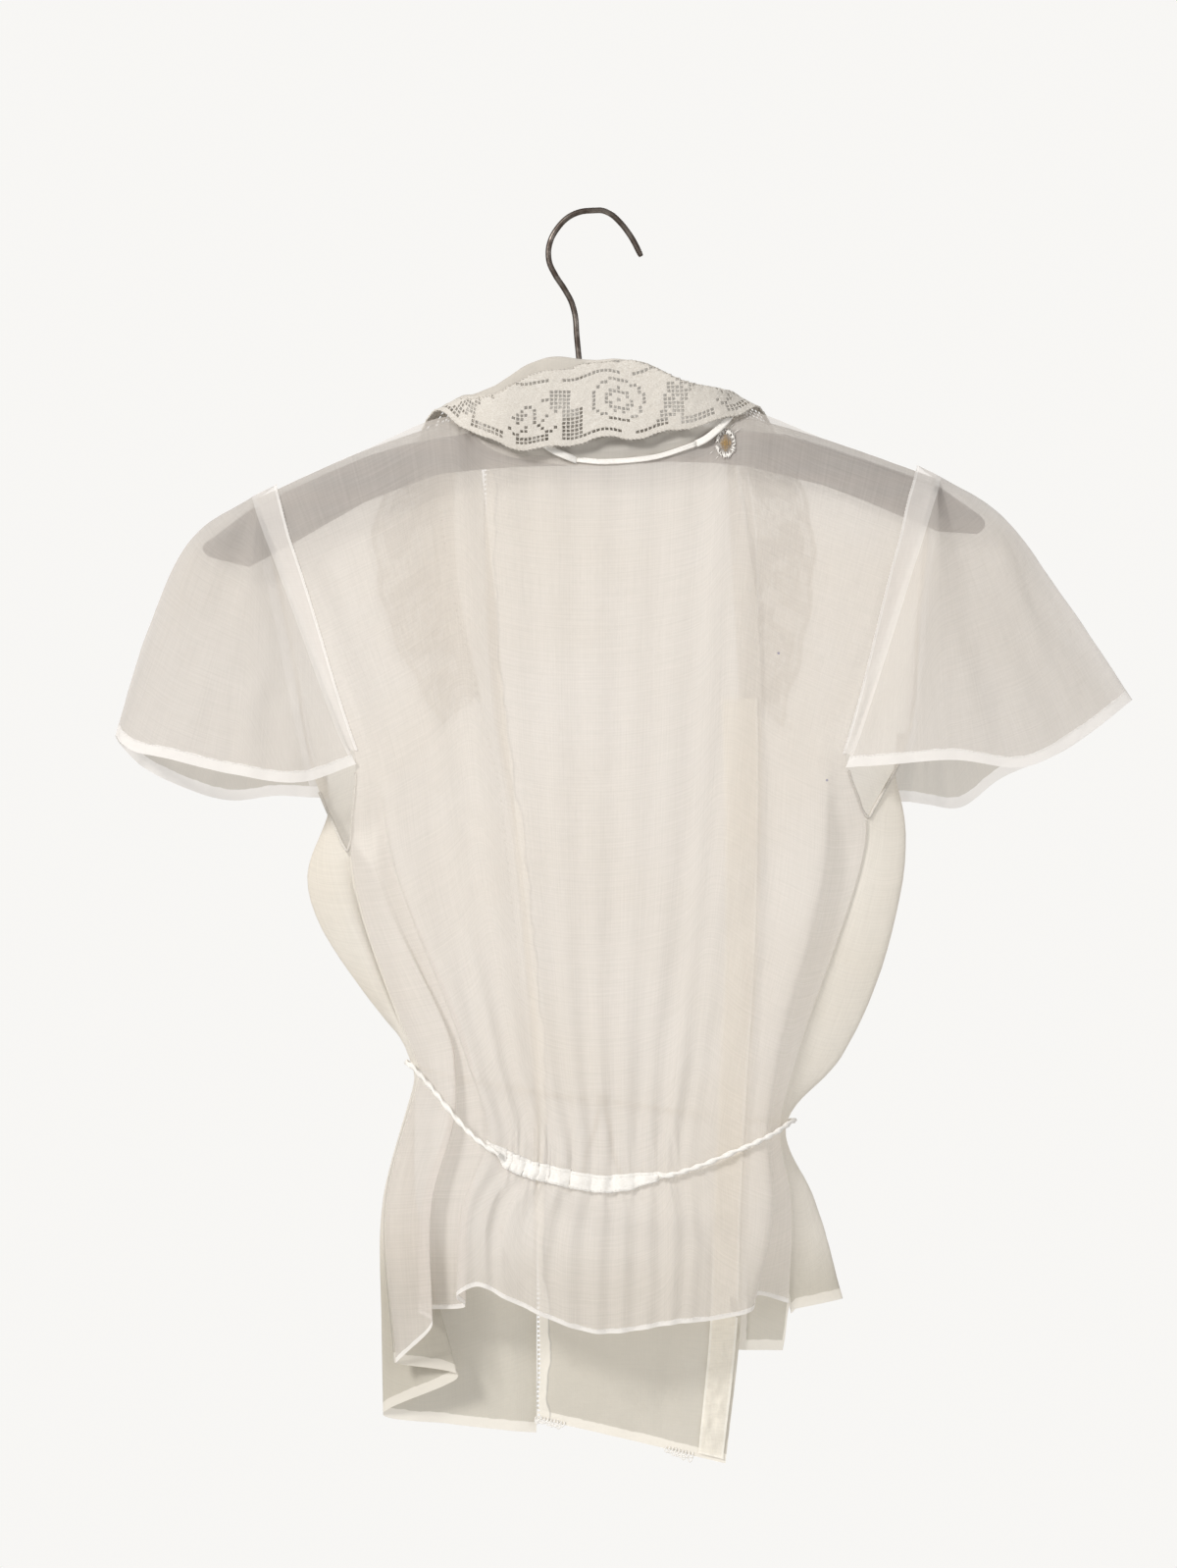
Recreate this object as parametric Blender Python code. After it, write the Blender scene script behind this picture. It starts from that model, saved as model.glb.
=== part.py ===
"""Sheer cotton blouse, seen from its back, on a flat wooden hanger with a bent wire hook.

The origin is the inside of the hook's crown. The back of the blouse faces -Y, +Z is up and +X is
to the right of someone who looks at the back. Tables are in millimetres and the meshes in metres.
"""
import math

import bmesh
import bpy
from mathutils import Vector

MM = 0.001

# Driving sizes, in millimetres
CLOTH = 1.0
SEAM_GAP = 0.3
LAYER = CLOTH + SEAM_GAP
BAND_LIFT = LAYER + 0.5
WOOD_THICK = 11.0
WOOD_CORNER = 5.0
WIRE_RADIUS = 1.6
WIRE_BORE = WIRE_RADIUS + SEAM_GAP
WIRE_DEPTH = 12.0
TIE_RADIUS = 1.3
# How far a sleeve starts outside its armhole, along x and y
SLEEVE_LAP = (2.3, 1.0)
# The sleeves lie on the ends of the wood: lift at the seam, and reach and lift past it
RIDGE_LIFT = 1.2
WOOD_REACH = 30.0
WOOD_CLEAR = 2.0
BINDING_RADIUS = 1.0
# Ends of the binding down the armhole's edge, as places of its fold line, and its dip between them
BINDING_PLACES = (3.2, 3.8)
BINDING_DIP = 4.0
ROLL_RADIUS = 2.3
# A smooth curve's tangent is at most this many times the shorter span beside its point
TANGENT_LIMIT = 2.2
# Where the cloth turns over the wood: depth at the top and at the crest, and the crest's drop
TOP_DEPTH = 0.8
CREST_DEPTH = 7.4
CREST_DROP = 6.0
CREST_DRIFT = 0.04
NECK_DEPTH = 8.8
NECK_CREST = 0.6
# The blade point lies halfway from the top to the armpit, a little less deep than the armpit
BLADE_SHARE = 0.5
BLADE_DEPTH = 0.93
SIDE_GAP = (1.3, 1.8, -0.4)
# Gathers: pitch and depth, depth under the band, fading ends along x, and the places down the
# cloth between which they grow and fade
GATHER_PITCH = 12.0
GATHER_DEPTH = 2.4
BAND_GATHER = 0.5
GATHER_ENDS = ((-58, -48), (46, 62))
GATHER_ABOVE = ((4.2, 5.6), (5.6, 6.0))
GATHER_BELOW = ((6.0, 6.5), (6.8, 8.0))
HEM_FLATTENS = 0.45

# Heights that run across the garment, as (x, z) points from left to right
SHOULDER = [(-211, -177), (-184.5, -157), (-129, -132), (-74.5, -113), (79, -110), (133, -126),
            (189.5, -146), (217, -165)]
NECKLINE = [(-62, -124.5), (-30, -130.5), (1.5, -133.5), (34, -130), (66, -122)]
WOOD_TOP = [(-210.5, -180), (-196, -168.5), (-184.5, -160.5), (-129, -135.5), (-98, -125.5),
            (-74, -122.5), (-40, -115), (0, -110), (40, -113.5), (79, -119.5), (106, -121.5),
            (133, -129.5), (189.5, -149.5), (204, -157), (213, -166)]
WOOD_LOW = [(-210.5, -189), (-199, -196), (-184.5, -194), (-164, -181), (-121, -156.5), (-83, -143),
            (-45, -139.5), (0, -138.5), (41, -136.5), (79, -137.5), (133, -151), (176, -169),
            (203, -180), (213, -176)]
# The wood's ends, its sections between them, and its rounded tips as (reach, size)
WOOD_ENDS = (-210, 212)
WOOD_STEPS = 20
WOOD_TIPS = ((4, 0.35), (2.5, 0.75))
BACK_LEVELS = {
    "blade": [(-160, -227), (160, -227)],
    "armpit": [(-130, -300), (140, -302)],
    "ribs": [(-133, -353.5), (-108, -352), (127, -357), (132, -351), (153, -331)],
    "low": [(-98, -460), (0, -466), (112, -463)],
    "waist": [(-95, -470), (-77, -490), (-60, -504.5), (-45, -518), (-30, -524), (5, -531),
              (46, -525), (72, -515), (95, -504.5), (103, -502.5)],
    "hip": [(-112, -541.5), (-70, -541.5), (-45, -549.5), (3, -557.5), (48, -552), (98, -541.5)],
}
FRONT_LEVELS = {
    "blade": [(-160, -233), (180, -207)],
    "armpit": [(-155, -312), (-50, -314), (88, -286), (176, -290)],
    "ribs": [(-157, -364.5), (-133, -354.8), (-101, -364.5), (-49, -365.5), (88, -338.5),
             (133, -336), (153.5, -332), (172.5, -334)],
    "low": [(-100, -460), (-40, -464.5), (88, -469), (137, -464.5)],
    "waist": [(-97, -471), (-70, -477.5), (-39.5, -482), (89, -507), (105, -502.5)],
    "hip": [(-116, -543), (-41, -552), (88, -549.5), (123, -544)],
}

# One row for each fold line or edge, from left to right. Depths are y, and the last column is the
# height of the hem. The left side of the back lies in a stack of folds.
STATIONS = ("top", "crest", "blade", "armpit", "ribs", "low", "waist", "hip", "hem")
FOLD_COLUMNS = ("x_top", "x_armpit", "x_ribs", "x_low", "x_waist", "x_hip", "x_hem",
                "y_armpit", "y_ribs", "y_low", "y_waist", "y_hip", "y_hem", "z_hem")
BACK_FOLDS = {
    "seam_left": (-184.5, -129.5, -132.5, -98.5, -95, -112.5, -107.5, -14, -4, -4, -4, -5, -8, -631),
    "pleat_left": (-182, -126.5, -121, -75.5, -74.5, -87, -87, -14.5, -8, -11, -14, -16, -18, -606.5),
    "tuck_left": (-179.5, -123, -117.5, -76.5, -77, -93, -95, -15, -8, -6.5, -7.5, -8, -7.5, -603),
    "under_left": (-176.5, -120, -111, -67, -60.5, -67, -69.5, -15.5, -8.5, -10, -11, -12, -12, -599.5),
    "fold_left": (-173, -115.5, -108.5, -69, -56, -70, -73.5, -16, -17, -20, -22, -23, -24, -591.5),
    "side_left": (-129, -88.5, -82, -56, -45.5, -59.5, -61.5, -17, -18, -21.5, -23, -26, -27, -586),
    "neck_left": (-74.5, -61.5, -56, -40, -30, -45.5, -48, -18, -20, -23, -24, -27, -29, -592),
    "nape_left": (-62, -52, -47, -33, -25, -37, -39, -18, -20, -23, -24, -28, -30, -596),
    "centre": (1.5, 1.5, 1.5, 3, 5.5, 3, 2, -18, -20, -24, -24, -30, -32, -610.5),
    "nape_right": (66, 57, 54, 44, 39, 40, 39, -18, -20, -23, -24, -29, -31, -606.5),
    "neck_right": (79, 68, 63.5, 53, 46.5, 48.5, 46.5, -18, -20, -23, -24, -29, -31, -605.5),
    "side_right": (133, 103, 100.5, 80, 72.5, 74.5, 70.5, -17, -18, -21, -22, -25, -26, -603.5),
    "fold_right": (178, 129, 127, 101.5, 95.5, 98.5, 87.5, -16, -17, -19, -20, -21, -21, -599.5),
    "under_right": (183, 133.5, 132, 105.5, 97.5, 100.5, 89.5, -15, -9, -11, -11.5, -11.5, -11, -594),
    "seam_right": (189.5, 139, 150, 112.5, 103, 109, 108, -14, -4, -6, -7, -6, -4, -599),
}
FRONT_LEFT_FOLDS = {
    "seam": (-184.5, -153.5, -133.4, -99.6, -96.4, -113, -108, 12, -3, -2.6, -2.6, -2, 0, -633),
    "pleat": (-179.5, -147.5, -143.5, -102.5, -98.5, -97, -74, 14.5, -1, 0.5, 0.5, 3, 1, -639.5),
    "outer": (-174, -141, -157, -101.5, -98, -115.5, -116, 16.5, 5, 5.5, 5, 9, 11, -663.5),
    "middle": (-126.5, -102, -101.5, -72.5, -70, -80.5, -80.5, 15, 17, 14, 13, 17, 20, -670.5),
    "edge": (-74.5, -55, -49, -40, -39.5, -41, -41.5, 17, 18.5, 16, 15, 20, 22, -675),
}
FRONT_RIGHT_FOLDS = {
    "edge": (79, 88.5, 88.5, 89.5, 89, 88, 86, 17, 18.5, 16, 14.5, 17, 18, -630.5),
    "middle": (133, 130, 133, 112.5, 98.5, 106, 112.5, 15, 17, 15, 12, 15, 16, -614),
    "outer": (178.5, 164, 172.5, 137.5, 106.5, 123, 139, 15.5, 6, 3, 0, 4, 5, -595),
    "seam": (189.5, 175, 150.5, 113.5, 104.6, 110.5, 109.5, 10, -3, -4.4, -5, -4, -2, -600),
}

# Centre front panel: points (x, y, z) down its left edge, its middle and its right edge
PANEL_LEFT = ((-66, 12.4, -134), (-66, 18, -212), (-62, 19, -269), (-49, 20.4, -354.5),
              (-43, 19.9, -416), (-38, 17, -482), (-38, 22.2, -552), (-35.5, 21, -611.5),
              (-35.5, 20, -666.5))
PANEL_MIDDLE = ((6, 8.8, -128), (10, 11.5, -212), (14, 12.5, -269), (22, 14, -354.5),
                (25, 14, -416), (25, 12, -482), (24, 14, -552), (22, 15, -611.5),
                (19.5, 16, -678.5))
PANEL_RIGHT = ((77.5, 8.3, -132), (91, 12.6, -212), (94, 14, -266.5), (94, 15, -354.5),
               (92, 15, -416), (87.5, 11.5, -482), (84, 13.5, -552), (82.5, 13, -611.5),
               (74, 13, -691))
# The facing's places across and down the panel
FACING_ACROSS = (1.72, 1.8, 1.88, 1.97)
FACING_DOWN = (2, 2.5, 3, 3.5, 4, 4.5, 5, 5.5, 6, 6.5, 6.9, 7.2, 7.5, 7.75, 7.97)

# Sleeves: each row runs from the armhole to the hem. share is the place down the armhole, from the
# shoulder at 0 to its end at 1; puff is how far the row bows away from a straight line.
SLEEVE_COLUMNS = ("share", "x_hem", "y_hem", "z_hem", "puff_x", "puff_y", "puff_z")
SLEEVE_LEFT = {
    "back": ((0.98, -128.5, -17, -303, 0, 0, 0), (0.66, -157.5, -23, -313, 0, -2, 0),
             (0.34, -195.5, -27, -308.5, 1, -4, 1), (0.13, -229, -25, -300.5, 4, -3, 7),
             (0.04, -251.5, -16, -295.5, -2, -2, 22)),
    "ridge": (0, -263.5, 0, -287, -4, 0, 4),
    "front": ((0.04, -250.5, 15, -304, -2, 2, 22), (0.17, -227.5, 20, -316, 3, 3, 7),
              (0.48, -203, 20, -323, 1, 2, 1), (0.78, -173.5, 16, -320.5, 1, 1, 0),
              (0.98, -155.5, 13.5, -321.5, 0, 0, 0)),
}
SLEEVE_RIGHT = {
    "back": ((0.98, 138, -17, -305, 0, 0, 0), (0.66, 160, -23, -303.5, 0, -2, 0),
             (0.36, 195, -27, -301, -1, -4, 1), (0.14, 235.5, -25, -304.5, -4, -3, 7),
             (0.04, 270.5, -16, -286.5, 2, -2, 22)),
    "ridge": (0, 297.5, 0, -267.5, 0, 0, 4),
    "front": ((0.04, 262.5, 15, -295.5, 2, 2, 22), (0.19, 227.5, 20, -311, -3, 3, 7),
              (0.46, 203, 20, -327.5, -1, 2, 1), (0.74, 187, 16, -325.5, 0, 1, 0),
              (0.98, 176.5, 13.5, -324, 0, 0, 0)),
}
# Collar: each row is a section round the neck, with points (x, y, z) on its neck seam, on its roll
# and on its lace edge
COLLAR_SECTIONS = {
    "tip_left": ((-61.5, 22.5, -267), (-65, 24, -265), (-82, 25, -279.5)),
    "breast_left": ((-74, 19.5, -206.5), (-78, 21.5, -203), (-112, 22, -217)),
    "front_left": ((-76.5, 15, -152.5), (-79, 17.5, -148), (-116, 18, -159)),
    "crest_left": ((-74, 10.2, -123), (-71.5, 12, -116), (-96, 14.5, -128)),
    "shoulder_left": ((-71, 0, -109.5), (-68, -0.5, -101.5), (-84, -0.5, -108)),
    "turn_left": ((-66, -6.5, -117), (-62, -7, -100.5), (-71, -11, -115)),
    "nape_left": ((-51, -11.8, -127), (-53, -12.2, -97), (-56, -18, -124)),
    "back_left": ((-25, -11.8, -132.5), (-26, -12.6, -82), (-29, -18.4, -129)),
    "back": ((1.5, -11.8, -134.5), (1.5, -12.6, -82.5), (1.5, -18.4, -124)),
    "back_right": ((30, -11.8, -131.5), (26, -12.6, -83.5), (27.5, -18.4, -122)),
    "nape_right": ((56, -11.8, -124.5), (54.5, -12.2, -95), (54.5, -17.5, -116)),
    "turn_right": ((70, -6.5, -114.5), (66.5, -6.8, -98), (75.5, -11, -111)),
    "shoulder_right": ((75.5, 0, -106), (74, -0.5, -99), (87, -0.5, -104.5)),
    "crest_right": ((79.5, 10.2, -120), (77.5, 12, -113), (103, 14.5, -125)),
    "front_right": ((86, 15, -163.5), (88.5, 17.5, -159), (120, 18, -170)),
    "breast_right": ((88.5, 19.5, -212), (91.5, 21.5, -208.5), (117.5, 22, -223)),
    "tip_right": ((85.5, 22, -267), (88.5, 23.5, -265), (103.5, 25, -279.5)),
}
# Half the waistband's height along its length, as (x, half) points
BAND_HALF = [(-66, 2.4), (-45, 5), (20, 4.8), (44, 1.4)]

# Routes that are a hand-placed line of points
HOOK_ROUTE = [(27, -23.5), (21.5, -13), (15, -4.5), (10.5, -0.5), (6, 1.5), (0, 1.6), (-6, 1),
              (-13, -2), (-19, -8), (-22.5, -14), (-24, -20), (-23.5, -27), (-20.5, -33.5),
              (-15, -42), (-11.5, -48.5), (-9.5, -55.5), (-8.5, -67), (-7, -83), (-6, -97.5)]
HOOK_SOCKET_X = -5.5
TIE_LEFT_ROUTE = [(-50, -28.4, -514.5), (-59, -27.2, -509), (-69, -21.6, -501), (-77, -17.4, -492.5),
                  (-88, -11, -480), (-99.5, -7, -468), (-102, -1, -467), (-101.8, 5.5, -468),
                  (-91, 13.4, -473), (-66, 17, -479), (-40, 19.2, -484), (-18, 18, -487.5),
                  (0.4, 17, -489.5)]
TIE_RIGHT_ROUTE = [(37, -29, -526.5), (46, -28.2, -524.5), (60, -27.2, -520), (76, -26.2, -513.5),
                   (91.5, -24.9, -507), (99.8, -20, -503.5), (106, -12.5, -500.5), (110, -5, -499),
                   (111.5, 3, -499.5), (105, 14, -501), (84, 17.4, -500), (50, 15.6, -496),
                   (11, 16.8, -490.5)]
KNOT_CENTRE = (5.7, 17.1, -490)
KNOT_SIZE = (4.6, 2.6, 4.2)
TIE_END_LEFT = [(4, 16.6, -494.6), (2, 17.4, -505), (-3, 19, -519), (-5, 20.6, -536)]
TIE_END_RIGHT = [(7.4, 16.4, -494.6), (10, 16.6, -506), (12, 17.2, -520), (16, 17.4, -531)]

# Grid steps between neighbouring rows, and between neighbouring heights
BACK_ACROSS = (3, 3, 3, 3, 4, 6, 3, 7, 7, 3, 4, 4, 2, 3)
BACK_DOWN = (3, 2, 2, 4, 4, 4, 3, 3)
FRONT_DOWN = (3, 2, 2, 4, 3, 2, 3, 3)
LEFT_ACROSS = (3, 4, 5, 5)
RIGHT_ACROSS = (5, 5, 3)
# The rows of the back between which it is gathered
GATHERED = (4, 10)


def remove_everything():
    """Clear the scene's own objects."""
    for thing in list(bpy.data.objects):
        bpy.data.objects.remove(thing, do_unlink=True)


def level(line, x):
    """Height of a line of (x, z) points at x, straight between its points."""
    if x <= line[0][0]:
        return line[0][1]
    for (x0, z0), (x1, z1) in zip(line, line[1:]):
        if x <= x1:
            return z0 + (z1 - z0) * (x - x0) / (x1 - x0)
    return line[-1][1]


def on_neckline(x):
    return NECKLINE[0][0] <= x <= NECKLINE[-1][0]


def blend_points(points, place):
    """Point on a smooth curve through the points; place 2.5 lies halfway from point 2 to 3."""
    last = len(points) - 1
    index = min(int(place), last - 1)
    t = place - index
    here, there = points[index], points[index + 1]
    reach = max((there - here).length, 1e-6)

    def tangent(before, middle, after, other):
        """Tangent at the middle point, kept short where the other span is short."""
        near, far = max((middle - before).length, 1e-6), max((after - middle).length, 1e-6)
        slope = ((middle - before) * (far / near) + (after - middle) * (near / far)) / (near + far)
        return slope * min(reach, TANGENT_LIMIT * (other - middle).length)

    start, end = there - here, there - here
    if index > 0:
        start = tangent(points[index - 1], here, there, points[index - 1])
    if index + 2 <= last:
        end = tangent(here, there, points[index + 2], points[index + 2])
    h1 = 2 * t ** 3 - 3 * t ** 2 + 1
    h2 = t ** 3 - 2 * t ** 2 + t
    h3 = t ** 3 - t ** 2
    return here * h1 + start * h2 + there * (1 - h1) + end * h3


def places(steps):
    """Places along a curve, with the given number of steps in each of its spans."""
    result = [span + step / count for span, count in enumerate(steps) for step in range(count)]
    return result + [float(len(steps))]


def smooth(low, high, value):
    """Soft step from 0 at low to 1 at high."""
    t = min(max((value - low) / (high - low), 0.0), 1.0)
    return t * t * (3 - 2 * t)


def fold_line(row, levels, side):
    """Points down one fold line: top, crest, blade, armpit, ribs, low, waist, hip and hem."""
    cell = dict(zip(FOLD_COLUMNS, row))
    if side < 0 and on_neckline(cell["x_top"]):
        top = Vector((cell["x_top"], side * NECK_DEPTH, level(NECKLINE, cell["x_top"])))
        crest = top + Vector((0, side * NECK_CREST, -CREST_DROP))
    else:
        top = Vector((cell["x_top"], TOP_DEPTH * side, level(SHOULDER, cell["x_top"])))
        drift = CREST_DRIFT * (cell["x_armpit"] - cell["x_top"])
        crest = Vector((cell["x_top"] + drift, CREST_DEPTH * side, top.z - CREST_DROP))
    points = [top, crest]
    armpit_z = level(levels["armpit"], cell["x_armpit"])
    x_blade = crest.x + (cell["x_armpit"] - crest.x) * BLADE_SHARE
    z_blade = top.z + (armpit_z - top.z) * BLADE_SHARE
    points.append(Vector((x_blade, BLADE_DEPTH * cell["y_armpit"], z_blade)))
    for name in STATIONS[STATIONS.index("armpit"):-1]:
        x = cell["x_" + name]
        points.append(Vector((x, cell["y_" + name], level(levels[name], x))))
    points.append(Vector((cell["x_hem"], cell["y_hem"], cell["z_hem"])))
    return points


def fold_table(folds, levels, side):
    return [fold_line(row, levels, side) for row in folds.values()]


def surface(lines, across, down):
    """Grid of points from lines that run down the cloth, smooth both ways."""
    grid = []
    for u in across:
        column = [blend_points([line[station] for line in lines], u) for station in range(len(lines[0]))]
        grid.append([blend_points(column, v) for v in down])
    return grid


def normals(grid):
    """Unit normals of a grid, from its neighbouring points."""
    result = []
    last_u, last_v = len(grid) - 1, len(grid[0]) - 1
    for i, column in enumerate(grid):
        line = []
        for j in range(len(column)):
            along = grid[min(i + 1, last_u)][j] - grid[max(i - 1, 0)][j]
            down = column[min(j + 1, last_v)] - column[max(j - 1, 0)]
            line.append(along.cross(down).normalized())
        result.append(line)
    return result


def moved_out(grid, distance):
    """The grid moved along its normals."""
    return [[point + normal * distance for point, normal in zip(column, line)]
            for column, line in zip(grid, normals(grid))]


def material(name, colour, roughness, metallic=0.0, alpha=1.0):
    made = bpy.data.materials.new(name)
    made.use_nodes = True
    shader = made.node_tree.nodes["Principled BSDF"]
    shader.inputs["Base Color"].default_value = (*colour, 1)
    shader.inputs["Roughness"].default_value = roughness
    shader.inputs["Metallic"].default_value = metallic
    shader.inputs["Alpha"].default_value = alpha
    return made


def add_mesh(name, mesh, finish):
    """Put a bmesh, in millimetres, into the scene in metres, with its faces pointing out."""
    bmesh.ops.scale(mesh, vec=(MM, MM, MM), verts=mesh.verts)
    bmesh.ops.recalc_face_normals(mesh, faces=mesh.faces)
    data = bpy.data.meshes.new(name)
    mesh.to_mesh(data)
    mesh.free()
    data.shade_smooth()
    data.materials.append(finish)
    made = bpy.data.objects.new(name, data)
    bpy.context.collection.objects.link(made)
    return made


def add_cloth(name, grid, finish, thick=CLOTH):
    """One closed cloth wall round a grid of its middle points."""
    mesh = bmesh.new()
    sheets = [[[mesh.verts.new(point) for point in column] for column in moved_out(grid, side * thick / 2)]
              for side in (1, -1)]
    last_u, last_v = len(grid) - 1, len(grid[0]) - 1
    for sheet in sheets:
        for i in range(last_u):
            for j in range(last_v):
                mesh.faces.new((sheet[i][j], sheet[i + 1][j], sheet[i + 1][j + 1], sheet[i][j + 1]))
    rim = [(i, 0) for i in range(last_u)] + [(last_u, j) for j in range(last_v)]
    rim += [(i, last_v) for i in range(last_u, 0, -1)] + [(0, j) for j in range(last_v, 0, -1)]
    for (i, j), (k, m) in zip(rim, rim[1:] + rim[:1]):
        mesh.faces.new((sheets[0][i][j], sheets[0][k][m], sheets[1][k][m], sheets[1][i][j]))
    return add_mesh(name, mesh, finish)


def add_tube(name, points, radius, finish, steps=2, sides=2):
    """A round cord or wire on a smooth curve through the points, with filled ends."""
    route = [blend_points(points, place) for place in places([steps] * (len(points) - 1))]
    curve = bpy.data.curves.new(name, "CURVE")
    curve.dimensions = "3D"
    curve.bevel_depth = radius * MM
    curve.bevel_resolution = sides
    curve.use_fill_caps = True
    spline = curve.splines.new("POLY")
    spline.points.add(len(route) - 1)
    for point, place in zip(spline.points, route):
        point.co = (*(place * MM), 1)
    curve.materials.append(finish)
    made = bpy.data.objects.new(name, curve)
    bpy.context.collection.objects.link(made)
    return made


def back_grid(across, down):
    """The back with its gathers, which fan out above and below the waistband."""
    lines = fold_table(BACK_FOLDS, BACK_LEVELS, -1)
    grid = surface(lines, across, down)
    waist = STATIONS.index("waist")
    for u, column in zip(across, grid):
        x_waist = blend_points([line[waist] for line in lines], u).x
        in_band = smooth(*GATHER_ENDS[0], x_waist) * (1 - smooth(*GATHER_ENDS[1], x_waist))
        wave = math.cos(2 * math.pi * x_waist / GATHER_PITCH)
        for place, point in zip(down, column):
            above = smooth(*GATHER_ABOVE[0], place) * (1 - smooth(*GATHER_ABOVE[1], place))
            below = smooth(*GATHER_BELOW[0], place)
            below *= 1 - HEM_FLATTENS * smooth(*GATHER_BELOW[1], place)
            point.y += wave * in_band * (GATHER_DEPTH * (above + below) + BAND_GATHER)
    return grid


def front_grid(folds, across, down, seam):
    """A front, whose side seam (column 0 or -1) follows the back's below the armhole."""
    grid = surface(fold_table(folds, FRONT_LEVELS, 1), across, down)
    row = list(BACK_FOLDS.values())[seam]
    back_seam = fold_line(row, BACK_LEVELS, -1)
    outward = -1 if seam == 0 else 1
    step = Vector((outward * SIDE_GAP[0], SIDE_GAP[1], SIDE_GAP[2]))
    for n, place in enumerate(down):
        if place < STATIONS.index("ribs"):
            continue
        shift = blend_points(back_seam, place) + step - grid[seam][n]
        for u, column in zip(across, grid):
            column[n] += shift * max(1 - abs(u - across[seam]), 0) ** 2
    return grid


def panel_lines():
    return [[Vector(point) for point in line] for line in (PANEL_LEFT, PANEL_MIDDLE, PANEL_RIGHT)]


def armhole(folds, levels, side, index, share):
    """Point of an armhole edge: 0 at the shoulder, 1 at the end of the sleeve."""
    line = fold_line(list(folds.values())[index], levels, side)
    return blend_points(line, STATIONS.index("armpit") * share)


def sleeve_lines(rows, back_index, front_folds, front_index, outward):
    """Lines from the armhole to the hem of one sleeve, from its back end over the ridge to its front."""
    lines = []
    sections = [(-1, row) for row in rows["back"]] + [(0, rows["ridge"])]
    sections += [(1, row) for row in rows["front"]]
    for side, row in sections:
        cell = dict(zip(SLEEVE_COLUMNS, row))
        if side == 0:
            start = Vector((armhole(BACK_FOLDS, BACK_LEVELS, -1, back_index, 0).x, 0, 0))
            start.z = level(SHOULDER, start.x) + RIDGE_LIFT
        elif side < 0:
            start = armhole(BACK_FOLDS, BACK_LEVELS, -1, back_index, cell["share"])
        else:
            start = armhole(front_folds, FRONT_LEVELS, 1, front_index, cell["share"])
        start = start + Vector((outward * SLEEVE_LAP[0], side * SLEEVE_LAP[1], 0))
        end = Vector((cell["x_hem"], cell["y_hem"], cell["z_hem"]))
        puff = Vector((cell["puff_x"], cell["puff_y"], cell["puff_z"]))
        near = start.lerp(end, 1 / 3) + puff
        far = start.lerp(end, 2 / 3) + puff / 2
        if side == 0:
            wood_end = start.x + outward * WOOD_REACH
            near = Vector((wood_end, 0, level(SHOULDER, wood_end) + WOOD_CLEAR))
            far = near.lerp(end, 0.5) + puff
        lines.append([start, near, far, end])
    return lines


def band_strip(grid, row):
    """Points of the waistband: the panel's own columns, from above to below one of its rows."""
    result = []
    for column in grid:
        middle = column[row]
        if BAND_HALF[0][0] <= middle.x <= BAND_HALF[-1][0]:
            half = level(BAND_HALF, middle.x)
            above, below = column[row - 1] - middle, column[row + 1] - middle
            result.append([middle + above * (half / above.length), middle,
                           middle + below * (half / below.length)])
    return result


def collar_section(seam, roll, lace_edge):
    """Stand, round roll and fall of the collar at one place round the neck."""
    up = roll - seam
    stand = up.length - ROLL_RADIUS
    up.normalize()
    out = lace_edge - seam
    out = (out - up * out.dot(up)).normalized()
    centre = seam + up * stand + out * ROLL_RADIUS
    whole_turn = math.acos(up.dot((lace_edge - roll).normalized()))
    points = [seam, seam + up * (stand / 2)]
    for n in range(5):
        turn = whole_turn * n / 4
        points.append(centre - out * (ROLL_RADIUS * math.cos(turn)) + up * (ROLL_RADIUS * math.sin(turn)))
    return points + [points[-1].lerp(lace_edge, 0.5), lace_edge]


def add_hanger(finish):
    """Flat bar with rounded edges, bored for the hook, as a loft of rounded sections."""
    mesh = bmesh.new()
    half = WOOD_THICK / 2
    first, last = WOOD_ENDS
    stations = [(first - reach, size) for reach, size in WOOD_TIPS]
    stations += [(first + (last - first) * n / WOOD_STEPS, 1.0) for n in range(WOOD_STEPS + 1)]
    stations += [(last + reach, size) for reach, size in reversed(WOOD_TIPS)]
    rings = []
    for x, size in stations:
        top, low = level(WOOD_TOP, x), level(WOOD_LOW, x)
        middle, tall = (top + low) / 2, (top - low) / 2 * size
        corner = min(WOOD_CORNER, 0.9 * half * size, 0.9 * tall)
        ring = []
        for quarter, (sy, sz) in enumerate(((1, 1), (-1, 1), (-1, -1), (1, -1))):
            for step in range(3):
                angle = math.pi / 2 * (quarter + step / 2)
                y = sy * (half * size - corner) + corner * math.cos(angle)
                z = middle + sz * (tall - corner) + corner * math.sin(angle)
                ring.append(mesh.verts.new((x, y, z)))
        rings.append(ring)
    count = len(rings[0])
    for ring, following in zip(rings, rings[1:]):
        for n in range(count):
            m = (n + 1) % count
            mesh.faces.new((ring[n], ring[m], following[m], following[n]))
    mesh.faces.new(rings[0])
    mesh.faces.new(rings[-1])
    wood = add_mesh("hanger", mesh, finish)

    drill = bmesh.new()
    bmesh.ops.create_cone(drill, cap_ends=True, segments=16, radius1=WIRE_BORE, radius2=WIRE_BORE,
                          depth=2 * WIRE_DEPTH)
    bmesh.ops.translate(drill, vec=(HOOK_SOCKET_X, 0, level(WOOD_TOP, HOOK_SOCKET_X)), verts=drill.verts)
    cutter = add_mesh("hook_bore", drill, finish)
    cutter.hide_render = True
    cutter.display_type = "WIRE"
    cut = wood.modifiers.new("Bore", "BOOLEAN")
    cut.operation = "DIFFERENCE"
    cut.solver = "EXACT"
    cut.object = cutter
    return wood


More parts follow.
